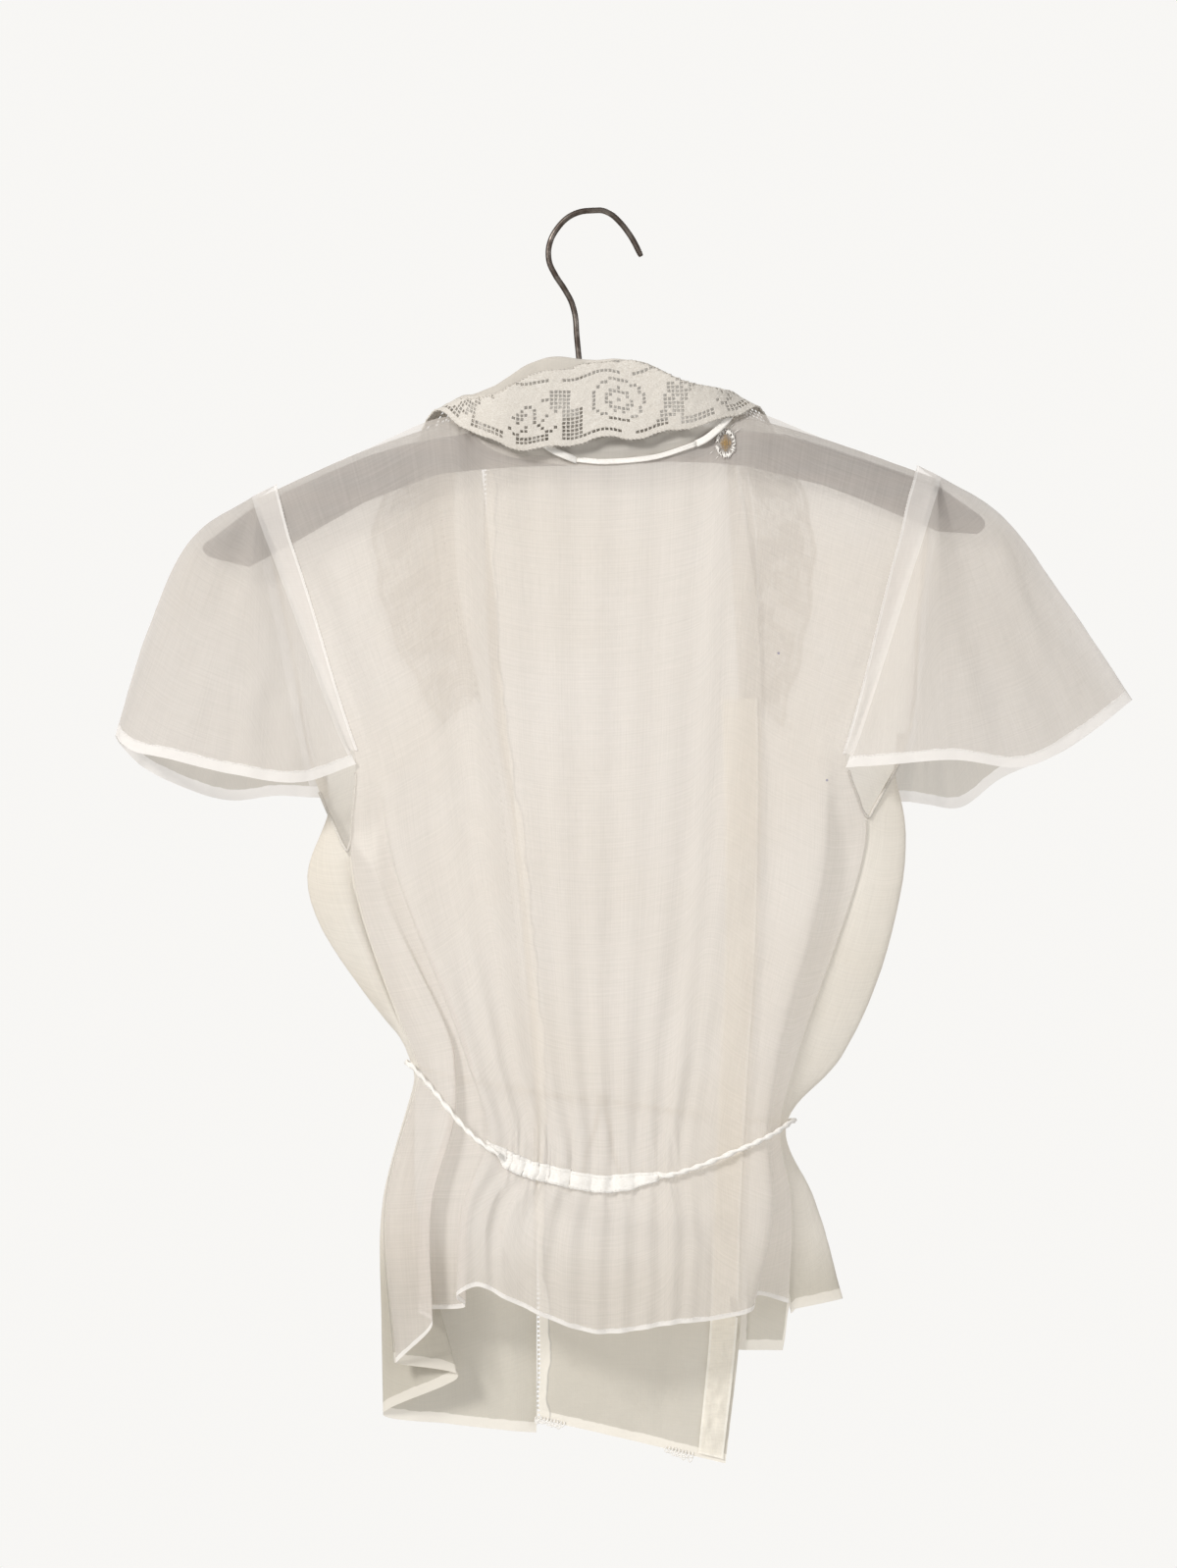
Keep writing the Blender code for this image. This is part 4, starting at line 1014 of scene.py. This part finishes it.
FACING_CREASES = [
    crease(724, 1352, 758, 1361, 3.0, -1.6), crease(722, 1375, 742, 1384, 2.6, -1.4),
    crease(722, 1392, 733, 1402, 2.2, -1.4), crease(722, 1408, 734, 1420, 2.2, -1.6),
    crease(724, 1424, 737, 1441, 2.4, -1.7), crease(722, 1450, 730, 1478, 2.2, -1.4),
    crease(744, 1318, 752, 1345, 2.6, 1.3), crease(756, 1400, 746, 1440, 2.6, -1.2),
]
facing_across = [FACING_ACROSS[0] + (FACING_ACROSS[-1] - FACING_ACROSS[0]) * n / 20 for n in range(21)]
facing_down = [FACING_DOWN[0] + (FACING_DOWN[-1] - FACING_DOWN[0]) * n / 260 for n in range(261)]


def facing_depth(point, i, j):
    """Washed, never pressed: short sharp wrinkles across the strip."""
    wrinkle = abs(noise.noise(Vector((point.x * 0.10, 31.5, point.z * 0.16))))
    fold = noise.noise(Vector((point.x * 0.22, 32.5, point.z * 0.07)))
    low = 0.35 + 0.65 * smooth(6.2, 7.2, facing_down[j])
    return -(0.3 + (1.3 * wrinkle + 0.7 * fold) * low) + bumps(point, FACING_CREASES)


facing = surface(panel_lines(), facing_across, facing_down)
facing = pushed(moved_out(facing, -0.6), facing_depth)
cloth("facing_cloth", facing, FACING, ("left", "right", "hem"), "facing_right")

# Sleeves
LEFT_SLEEVE_CREASES = [
    crease(262, 560, 205, 745, 7, 1.3), crease(285, 600, 262, 790, 7, 1.3),
    crease(225, 590, 150, 740, 7, 1.2), crease(310, 680, 305, 795, 6, 1.2),
    crease(180, 640, 128, 750, 6, 1.0),
]
RIGHT_SLEEVE_CREASES = [
    crease(960, 560, 1035, 780, 7, 1.4), crease(935, 600, 930, 775, 8, 1.3),
    crease(1000, 570, 1085, 750, 7, 1.3), crease(905, 670, 890, 775, 6, 1.1),
    crease(1040, 590, 1125, 715, 6, 1.1),
]


def on_cloth(grid, x, z, lift):
    """The place just outside a sheet at x and z, as seen from the back."""
    near = sorted((point for column in grid for point in column if abs(point.x - x) < 14),
                  key=lambda point: (point.x - x) ** 2 + (point.z - z) ** 2 + 0.02 * point.y)[:4]
    weights = [1 / (0.3 + (point.x - x) ** 2 + (point.z - z) ** 2) for point in near]
    return Vector((x, sum(w * point.y for w, point in zip(weights, near)) / sum(weights) - lift, z))


# How far a sleeve's doubled edge laps over the back: at the underarm and at the shoulder, its slant
# there, and the reach of the extra column under the arm
LAP_LOW = 4.6
LAP_HIGH = 13.2
LAP_SLANT = 0.48
UNDERARM_REACH = 9.5


def lapped_rows(point, outward, behind):
    """Three rows that carry a sleeve's doubled edge inwards over the bodice."""
    if not behind:
        return [point + Vector((-outward * LAP_LOW * k / 3, 0.35 * k / 3, 0)) for k in (3, 2, 1)]
    wide = LAP_LOW + (LAP_HIGH - LAP_LOW) * smooth(-300, -160, point.z)
    rise = LAP_SLANT * wide * smooth(-182, -160, point.z)
    return [on_cloth(back, point.x - outward * wide * k / 3, point.z + rise * k / 3, 0.5)
            for k in (3, 2, 1)]


def sleeve_cloth(name, lines, creases, node, outward):
    sleeve_across = fine((2,) * (len(lines) - 1), 8)
    sleeve_down = fine((2, 2, 2), 9)
    grid = surface(lines, sleeve_across, sleeve_down)
    seed = 41.5 if node == "sleeve_left" else 47.5

    def depth(point, i, j):
        loose = smooth(0.2, 2.6, sleeve_down[j])
        flutter = 2.0 * noise.noise(Vector((sleeve_across[i] * 1.1, seed, sleeve_down[j] * 0.25)))
        flutter += 0.9 * noise.noise(Vector((sleeve_across[i] * 2.7, seed + 1, sleeve_down[j] * 0.4)))
        small = 0.2 * noise.noise(Vector((point.x * 0.12, seed + 2, point.z * 0.12)))
        return loose * flutter + small + bumps(point, creases) * loose

    grid = pushed(grid, depth)
    lapped = [lapped_rows(column[0], outward, i <= len(grid) // 2) + column
              for i, column in enumerate(grid)]
    lapped.append([point + Vector((-outward * UNDERARM_REACH, 0.4, 0)) for point in lapped[-1]])
    cloth(name, lapped, COTTON, ("hem",), node)
    return lapped


left_lines = sleeve_lines(SLEEVE_LEFT, 0, FRONT_LEFT_FOLDS, 0, -1)
right_lines = sleeve_lines(SLEEVE_RIGHT, len(BACK_FOLDS) - 1, FRONT_RIGHT_FOLDS, 3, 1)
left_sleeve = sleeve_cloth("sleeve_left_cloth", left_lines, LEFT_SLEEVE_CREASES, "sleeve_left", -1)
right_sleeve = sleeve_cloth("sleeve_right_cloth", right_lines, RIGHT_SLEEVE_CREASES, "sleeve_right", 1)

# Collar
LACE_START = 6.35
LACE_END = 8.0
CELL = 2.3
BAR = 0.27
ROSE = """
#####.....#####
###..#####..###
##.###.#.###.##
#.###.....##.##
#.##..###..##.#
#.##.##.##.##.#
#.##..###.###.#
#.###.....##.##
##.####.####.##
###..#####..###
#####.....#####
"""
LEAF = """
#..######..#
.##..###.##.
####.##.####
##.###.#.###
#...##.##.##
##...#.####.
###.##.###..
####..####.#
########..##
"""
REPEAT = 50
ROWS = 20


def lace_chart():
    """One repeat of the filet pattern from its edge up, True where a mesh is darned full."""
    chart = [[True] * REPEAT for _ in range(ROWS)]

    def stamp(pattern, left, top):
        for r, line in enumerate(pattern.split()):
            for c, sign in enumerate(line):
                chart[top + r][(left + c) % REPEAT] = sign == "#"

    stamp(ROSE, 0, 4)
    stamp(LEAF, 31, 3)
    for r in range(ROWS):
        for c in range(5):
            if 2 <= r < 14:
                chart[r][(44 + c - (3 if r > 8 else 0)) % REPEAT] = False
        for c in range(6 + (r > 9) * 3):
            if 3 <= r < ROWS and (c + 2 * r) % 7 != 3:
                chart[r][(17 + c + (r - 3) // 3) % REPEAT] = False
        if r in (1, 2, 16):
            for c in range(REPEAT):
                if c % 11 < 8 and (r != 2 or 15 < c < 44):
                    chart[r][c] = False
    return chart


def lace_top(x):
    """Place on the collar's section where the lace starts: it slants up to the roll at the right."""
    return LACE_START - 1.75 * smooth(-16, 32, x)


sections = [collar_section(*(Vector(point) for point in row)) for row in COLLAR_SECTIONS.values()]


def collar_column(u):
    return [blend_points([section[k] for section in sections], u) for k in range(len(sections[0]))]


def scallop(s):
    """How far the lace's edge is drawn up at a place along it: soft uneven scallops."""
    return 1.2 * math.cos(2 * math.pi * s / 31) - 2.4 + 1.2 * noise.noise(Vector((s * 0.02, 51.5, 0)))


collar_across = fine((2,) * (len(sections) - 1), 8)
collar_rows = [n / 6 for n in range(int(LACE_START * 6) + 1)] + [LACE_START]
stand = []
for column in map(collar_column, collar_across):
    share = (lace_top(column[7].x) + 0.15) / LACE_START
    stand.append([blend_points(column, w * share) for w in collar_rows])


def stand_depth(point, i, j):
    crumple = noise.noise(Vector((point.x * 0.09, 52.5, point.z * 0.06)))
    return 0.8 * crumple * smooth(0.3, 2.0, collar_rows[j])


stand = pushed(stand, stand_depth)
stand = [[column[0] + Vector((0, 4.0, -5.5))] + column for column in stand]
cloth("collar_stand", stand, COLLAR, ("hem",), "collar")

# The lace: a net of square meshes on the fall of the collar, some darned full
rail_places = [n / 40 for n in range(40 * (len(sections) - 1) + 1)]
rail = lengths([blend_points(collar_column(u), 7.2) for u in rail_places])


def place_at(distance):
    """Place round the neck of a distance along the lace."""
    if distance <= 0:
        return 0.0
    for n in range(len(rail) - 1):
        if rail[n + 1] >= distance:
            return rail_places[n] + (distance - rail[n]) / (rail[n + 1] - rail[n]) / 40
    return rail_places[-1]


cells = int(rail[-1] / CELL)
rose_at = photo(630, 424)[0]
middle_u = min(rail_places, key=lambda u: abs(blend_points(collar_column(u), 7.2).x - rose_at)
               + (0 if 6 < u < 11 else 1000))
first_cell = int(rail[rail_places.index(middle_u)] / CELL) - 7
chart = lace_chart()


def wobble(a, b):
    """Small uneven shift of a lace crossing. It is the same in every run, as noise_vector isn't."""
    return Vector([noise.noise(Vector((a, b, layer))) for layer in (3.5, 13.5, 23.5)])


def lace_line(column, distance):
    """The points of the lace across one place, from its edge up, and how many reach the lace's top."""
    steps = [LACE_END - n / 20 for n in range(int((LACE_END - 4.2) * 20) + 1)]
    samples = [blend_points(column, w) for w in steps]
    along = lengths(samples)
    top = along[min(range(len(steps)), key=lambda n: abs(steps[n] - lace_top(column[7].x)))]
    outward = (column[7] - column[1]).normalized()
    points, full = [], 0
    for m in range(2 * ROWS + 2):
        row = m // 2 + (BAR if m % 2 else 0)
        reach = min(scallop(distance) + row * CELL * 0.93, along[-1] - 0.01)
        n = next(k for k in range(len(along) - 1) if along[k + 1] > max(reach, 0))
        point = samples[n].lerp(samples[n + 1], (reach - along[n]) / (along[n + 1] - along[n]))
        point = point + 0.34 * wobble(distance * 0.6, row * 1.3)
        lift = 0.3 + 0.6 * noise.noise(Vector((distance * 0.05, row * 0.15, 8.5)))
        points.append(point + outward * lift)
        if reach <= top:
            full = m
    return points, full


def build_lace():
    mesh = bmesh.new()
    lines = []
    for n in range(2 * cells + 2):
        distance = (n // 2 + (BAR if n % 2 else 0)) * CELL
        points, full = lace_line(collar_column(place_at(min(distance, rail[-1]))), distance)
        lines.append([mesh.verts.new(point) for point in points[:full + 1]])
    for n in range(len(lines) - 1):
        for m in range(min(len(lines[n]), len(lines[n + 1])) - 1):
            if n % 2 and m % 2 and not chart[m // 2 % ROWS][(n // 2 - first_cell) % REPEAT]:
                continue
            mesh.faces.new((lines[n][m], lines[n + 1][m], lines[n + 1][m + 1], lines[n][m + 1]))
    edges = [line[0].co.copy() for line in lines], [line[-1].co.copy() for line in lines]
    bmesh.ops.delete(mesh, geom=[vert for vert in mesh.verts if not vert.link_faces], context="VERTS")
    return mesh, *edges


lace_mesh, lace_edge, lace_head = build_lace()
lace_area = sum(face.calc_area() for face in lace_mesh.faces) * MM * MM
lace = solid_piece("collar_lace", lace_mesh, LACE, "collar")
thick = lace.modifiers.new("Thread", "SOLIDIFY")
thick.thickness = 0.0006
thick.offset = 0

edging = bmesh.new()
route = [point for n, point in enumerate(lace_edge) if n % 2 == 0]
sweep(edging, curve_points(route, 3),
      lambda n, share: [(a * (1 + 0.35 * math.sin(n * 2.1)), b * (1 + 0.35 * math.sin(n * 2.1)))
                        for a, b in round_section(0.55, 6)(n, share)])
for k in range(0, len(lace_edge) - 1, 2):
    spindle(edging, lace_edge[k], lace_edge[k] + Vector((0.3, -0.1, -1.1)), 0.9)
head = [lace_head[n].lerp(lace_head[n + 1], 0.5) + Vector((0, -0.4, 0))
        for n in range(0, len(lace_head) - 1, 3)]
head = [head[n].lerp((head[n - 1] + head[n + 1]) / 2, 0.6) for n in range(1, len(head) - 1)]
stitches(edging, curve_points(head, 3), 2.1, 1.2, 0.42)
solid_piece("collar_edging", edging, LACE)

# Bands, ties and knot
gathered = [column for u, column in zip(across, back) if GATHERED[0] <= u <= GATHERED[1]]
waist_row = down.index(STATIONS.index("waist"))


def band(columns, row, reach):
    """Smooth strip that follows the panel's columns beside one of its rows."""
    result = []
    for column in columns:
        middle = column[row]
        if BAND_START <= middle.x <= BAND_HALF[-1][0]:
            end = min(middle.x - BAND_START, BAND_HALF[-1][0] - middle.x)
            half = level(BAND_HALF, middle.x) * (0.3 + 0.7 * smooth(0, 11, end))
            line = []
            for n in range(-4, 5):
                span = column[row + (reach if n > 0 else -reach)] - middle
                line.append(middle + span * (abs(n) / 4 * half / span.length))
            result.append(line)
    return result


waist_strip = band(gathered, waist_row, 5)
waist_strip = moved_out(waist_strip, -BAND_LIFT)
waist_strip = pushed(waist_strip, lambda point, i, j: -0.25 - 0.9 * noise.noise(
    Vector((point.x * 0.42, 61.5, point.z * 0.22))) - 0.5 * math.exp(-((j - 4) / 2.2) ** 2))


def tape(name, grid, node, thickness):
    """A closed flat tape round a grid of its middle points."""
    mesh = bmesh.new()
    layers = [[[mesh.verts.new(p) for p in column] for column in moved_out(grid, side * thickness / 2)]
              for side in (1, -1)]
    last_u, last_v = len(grid) - 1, len(grid[0]) - 1
    for layer in layers:
        for i in range(last_u):
            for j in range(last_v):
                mesh.faces.new((layer[i][j], layer[i + 1][j], layer[i + 1][j + 1], layer[i][j + 1]))
    rim = [(i, 0) for i in range(last_u)] + [(last_u, j) for j in range(last_v)]
    rim += [(i, last_v) for i in range(last_u, 0, -1)] + [(0, j) for j in range(last_v, 0, -1)]
    for (i, j), (k, m) in zip(rim, rim[1:] + rim[:1]):
        mesh.faces.new((layers[0][i][j], layers[0][k][m], layers[1][k][m], layers[1][i][j]))
    bmesh.ops.recalc_face_normals(mesh, faces=mesh.faces)
    solid_piece(name, mesh, BINDING, node)


tape("waistband_tape", waist_strip, "waistband", 0.8)

neck_columns = [column for column in back if on_neckline(column[0].x)]
crest_row = down.index(STATIONS.index("crest"))
neck_strip = [[column[row] for row in range(crest_row - 7, crest_row + 1)] for column in neck_columns
              if -10 < column[crest_row].x < 58]
neck_strip = [[point + Vector((0, 0, 1.6 * smooth(6, -12, point.x) + 3.6 * smooth(26, 66, point.x)))
               for point in column] for column in neck_strip]
tape("neck_binding_tape", moved_out(neck_strip, -LAYER + 0.2), "neck_binding", 0.9)


def binding_end(name, column, places):
    """The binding's end as a narrow ribbon that runs up beside or under the collar."""
    route = [sum(column, Vector()) / len(column) + Vector((0, -0.9, -0.3))]
    route = curve_points(route + [Vector(place) for place in places], 6)
    ribbon = []
    for k, point in enumerate(route):
        along = route[min(k + 1, len(route) - 1)] - route[max(k - 1, 0)]
        across_it = Vector((-along.z, 0, along.x)).normalized() * (1 if along.x > 0 else -1)
        ribbon.append([point - across_it * (1.9 * m / 2) for m in (2, 1, 0, -1, -2)])
    tape(name, ribbon, "neck_binding", 0.7)


binding_end("neck_binding_right", neck_strip[-1],
            ((62, -12.7, -125.6), (67, -12.5, -121.8), (71.5, -11.5, -117.4), (75, -9.5, -113.2),
             (78, -5.5, -109), (79.2, -2, -105.2)))
binding_end("neck_binding_left", neck_strip[0],
            ((-15, -13.1, -134.6), (-20.5, -13.4, -132.2), (-26, -13.7, -128.7), (-31, -13.8, -124)))

for node, route_points, radius, pitch in (("tie_left", TIE_LEFT_ROUTE, 1.45, 17),
                                          ("tie_right", TIE_RIGHT_ROUTE, 1.45, 17),
                                          ("tie_end_left", TIE_END_LEFT, 1.4, 22),
                                          ("tie_end_right", TIE_END_RIGHT, 1.4, 22)):
    mesh = bmesh.new()
    route = curve_points(route_points, 10)
    sweep(mesh, route, twisted_section(radius, pitch, route))
    solid_piece(node + "_twist", mesh, BINDING, node)

knot = bmesh.new()
for turn in (0, 1):
    route = []
    for n in range(33):
        angle = 2 * math.pi * n / 32 * 0.96
        a = (KNOT_SIZE[0] - 1.3) * math.cos(angle)
        b = (KNOT_SIZE[2] - 1.3) * math.sin(angle)
        wave = math.sin(2 * angle + turn * math.pi)
        wide, tall = (0.9, 0.6) if turn else (0.6, 0.95)
        route.append(Vector(KNOT_CENTRE) + Vector((a * wide, wave, b * tall)))
    sweep(knot, route, twisted_section(1.35, 9, route))
solid_piece("tie_knot_turns", knot, BINDING, "tie_knot")

for side, grid, edge, outward in (("left", back, 0, -1), ("right", back, -1, 1)):
    folds, index = (FRONT_LEFT_FOLDS, 0) if side == "left" else (FRONT_RIGHT_FOLDS, 3)
    back_line = fold_line(list(BACK_FOLDS.values())[edge], BACK_LEVELS, -1)
    front_line = fold_line(list(folds.values())[index], FRONT_LEVELS, 1)
    front_joined = blend_points(back_line, STATIONS.index("ribs")) \
        + Vector((outward * SIDE_GAP[0], SIDE_GAP[1], SIDE_GAP[2]))
    front_line = front_line[:STATIONS.index("ribs")] + [front_joined]
    inward = Vector((0, 2 * SEAM_GAP + CLOTH / 2 + BINDING_RADIUS, 0))
    steps = [3.15 + 0.7 * n / 12 for n in range(13)]
    down_side = [blend_points(back_line, p) + inward * 0.5 for p in steps]
    up_side = [blend_points(front_line, p) - inward * 0.5 for p in steps]
    bottom = (down_side[-1] + up_side[-1]) / 2 - Vector((0, 0, BINDING_DIP))
    mesh = bmesh.new()
    sweep(mesh, curve_points(down_side[::4] + [bottom] + up_side[::-4], 6), round_section(0.9, 10))
    solid_piece("binding_%s_roll" % side, mesh, LACE, "binding_" + side)

# Hanger and hook
for slot_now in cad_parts["hanger"].material_slots:
    slot_now.material = WOOD
hook_route = [Vector((x, 0, z)) for x, z in HOOK_ROUTE]
hook_route += [Vector((HOOK_SOCKET_X, 0, level(WOOD_TOP, HOOK_SOCKET_X) - 1))]
route = curve_points(hook_route, 8)
mesh = bmesh.new()


def wire_section(n, share):
    size = WIRE_RADIUS * (1 - 0.25 * math.exp(-share * 260))
    return [(a * size, b * size) for a, b in round_section(1.0, 18)(n, share)]


sweep(mesh, route, wire_section)
solid_piece("hook_wire", mesh, WIRE, "hook")

# Sewing
# How far the stitches lie outside the cloth, and above a sleeve's hem
lift = Vector((0, -0.35, 0))
SLEEVE_HEM_STITCHES = 5.8
sewing = bmesh.new()
hem_line = [column[-1].lerp(column[-2], 2.3 / max((column[-1] - column[-2]).length, 2.3)) + lift
            for column in back[16:]]
stitches(sewing, hem_line, 2.0, 1.2, 0.28)
for grid in (left_sleeve, right_sleeve):
    line = []
    for column in grid[:len(grid) // 2]:
        along = lengths(column)
        goal = along[-1] - SLEEVE_HEM_STITCHES
        n = next(k for k in range(len(column)) if along[k] > goal) - 1
        share = (goal - along[n]) / (along[n + 1] - along[n])
        line.append(column[n].lerp(column[n + 1], share) + lift)
    stitches(sewing, line, 2.1, 1.3, 0.3)
    stitches(sewing, [column[0] + lift for column in grid[:len(grid) // 2]], 1.9, 1.3, 0.36)
for row in (1, 7):
    stitches(sewing, [column[row] + lift * 2.2 for column in waist_strip], 2.2, 1.3, 0.3)
for row in (1, -2):
    stitches(sewing, [column[row] + lift * 2.2 for column in moved_out(neck_strip, -LAYER)],
             1.9, 1.1, 0.25)
solid_piece("hand_stitches", sewing, THREAD)

# Faint dotted seam down the left of the back
dotted = bmesh.new()
seam_points = [(450, 520), (455, 560), (464, 610), (476, 660), (486, 697), (497, 745), (510, 800),
               (518, 870), (527, 960), (533, 1040)]
stitches(dotted, [on_cloth(back, *photo(px, py), 0.25) for px, py in seam_points],
         4.3, 0.9, 0.30)
solid_piece("dotted_seam", dotted, LACE)

# A small oval darn beside the neck: white stitches round a lattice of yellow brown threads
DARN_AT = (739, 454)
centre_x, centre_z = photo(*DARN_AT)
darn_white, darn_brown = bmesh.new(), bmesh.new()


def on_back(x, z):
    return on_cloth(back, x, z, 0.9)


def on_ellipse(wide, tall, angle):
    return on_back(centre_x + wide * math.cos(angle), centre_z + tall * math.sin(angle))


for n in range(44):
    angle = 2 * math.pi * n / 44 + random.uniform(-0.08, 0.08)
    inside = 0.5 + 0.2 * random.random()
    outside = 1.0 + 0.22 * random.random()
    tilt = angle + random.uniform(-0.35, 0.35)
    spindle(darn_white, on_ellipse(5.4 * inside, 8.0 * inside, angle),
            on_ellipse(5.4 * outside, 8.0 * outside, tilt), 0.8)
for n in range(22):
    angle = 2 * math.pi * n / 22 + random.uniform(-0.1, 0.1)
    spindle(darn_white, on_ellipse(4.6, 6.9, angle), on_ellipse(5.5, 8.2, angle + 0.35), 0.8)
for n in range(7):
    x = centre_x + (n - 3) * 0.85 + random.uniform(-0.15, 0.15)
    half = 4.6 * math.sqrt(max(1 - ((x - centre_x) / 3.3) ** 2, 0.1))
    spindle(darn_brown, on_back(x, centre_z - half), on_back(x + 0.3, centre_z + half), 0.42)
for n in range(10):
    z = centre_z + (n - 4.5) * 0.95 + random.uniform(-0.15, 0.15)
    half = 3.0 * math.sqrt(max(1 - ((z - centre_z) / 5.2) ** 2, 0.1))
    spindle(darn_brown, on_back(centre_x - half, z), on_back(centre_x + half, z + 0.3), 0.42)
for (ax, ay), (bx, by) in (((742, 440), (750, 431)), ((733, 466), (728, 471)), ((727, 461), (722, 466)),
                           ((745, 445), (757, 437)), ((734, 441), (731, 436))):
    spindle(darn_white, on_back(*photo(ax, ay)), on_back(*photo(bx, by)), 0.4)
solid_piece("darn_border", darn_white, THREAD)
solid_piece("darn_threads", darn_brown, BROWN_THREAD)

# Torn bits of lace edging below the panel's hem, and threads at its corner
bits = bmesh.new()
panel_hem = [column[-1] for column in panel]
along = lengths(panel_hem)


def hem_at(x):
    return min(panel_hem, key=lambda point: abs(point.x - x))


for first, last, drop in ((-36, -17, 4.5), (41, 55, 5.5)):
    x = first
    while x < last:
        top = hem_at(x) + Vector((0, -0.8, 1.5))
        size = drop * (0.5 + 0.5 * random.random())
        loop = [top, top + Vector((-1.0, -0.2, -size * 0.6)), top + Vector((0.2, -0.5, -size)),
                top + Vector((1.5, -0.3, -size * 0.7)), top + Vector((1.9, 0, 0.2))]
        sweep(bits, curve_points(loop, 3), round_section(0.38, 5))
        x += 1.7
    chain = [hem_at(first + (last - first) * k / 8) + Vector((0, -1.0, -1.0 - 0.5 * math.sin(k * 2.2)))
             for k in range(9)]
    sweep(bits, curve_points(chain, 4), round_section(0.45, 5))
solid_piece("lace_scraps", bits, THREAD)

# Floor, light and camera
def area_light(name, place, size, power, colour):
    lamp = bpy.data.lights.new(name, "AREA")
    lamp.shape = "DISK"
    lamp.size = size
    lamp.energy = power
    lamp.color = colour
    made = bpy.data.objects.new(name, lamp)
    made.location = place
    made.rotation_euler = (Vector(LAMP_AIM) - Vector(place)).to_track_quat("-Z", "Y").to_euler()
    bpy.context.collection.objects.link(made)


floor_mesh = bmesh.new()
bmesh.ops.create_circle(floor_mesh, cap_ends=True, segments=64, radius=2.6)
floor_data = bpy.data.meshes.new("floor")
floor_mesh.to_mesh(floor_data)
floor_mesh.free()
floor = bpy.data.objects.new("floor", floor_data)
floor.location = (0, 0, -1.6)
bpy.context.collection.objects.link(floor)
paint = Nodes("Pale floor")
mottle = paint.noise(paint.place(), 3, 2)
floor_data.materials.append(paint.finish(paint.mix(mottle, (0.88, 0.87, 0.85), (0.92, 0.91, 0.89)), 0.8))

world = bpy.data.worlds.new("Pale studio")
bpy.context.scene.world = world
world.use_nodes = True
tree = world.node_tree
seen = tree.nodes["Background"]
seen.inputs["Color"].default_value = (0.955, 0.945, 0.925, 1)
seen.inputs["Strength"].default_value = 0.98
lit = tree.nodes.new("ShaderNodeBackground")
lit.inputs["Color"].default_value = (1.0, 0.985, 0.96, 1)
lit.inputs["Strength"].default_value = 0.43
ray = tree.nodes.new("ShaderNodeLightPath")
blend = tree.nodes.new("ShaderNodeMixShader")
tree.links.new(ray.outputs["Is Camera Ray"], blend.inputs[0])
tree.links.new(lit.outputs[0], blend.inputs[1])
tree.links.new(seen.outputs[0], blend.inputs[2])
tree.links.new(blend.outputs[0], tree.nodes["World Output"].inputs["Surface"])

# Soft lamps that aim at the middle of the blouse: name, place, size in metres, watts and colour
LAMPS = (("key", (-1.4, -1.7, 0.85), 0.55, 52, (1.0, 0.985, 0.965)),
         ("fill", (1.5, -1.7, 0.1), 1.2, 11, (0.97, 0.98, 1.0)),
         ("rear", (0.3, 2.2, 0.8), 1.4, 24, (1.0, 0.99, 0.97)))
LAMP_AIM = (0, 0, -0.35)
for lamp_values in LAMPS:
    area_light(*lamp_values)

LENS = 66.75
CAMERA_PLACE = (-0.002, -1.6, -0.314)

camera = bpy.data.cameras.new("camera")
camera.lens = LENS
camera.sensor_width = 36
camera.dof.use_dof = False
view = bpy.data.objects.new("camera", camera)
view.location = CAMERA_PLACE
view.rotation_euler = (math.radians(90), 0, 0)
bpy.context.collection.objects.link(view)
bpy.context.scene.camera = view
bpy.context.scene.view_settings.view_transform = "Standard"
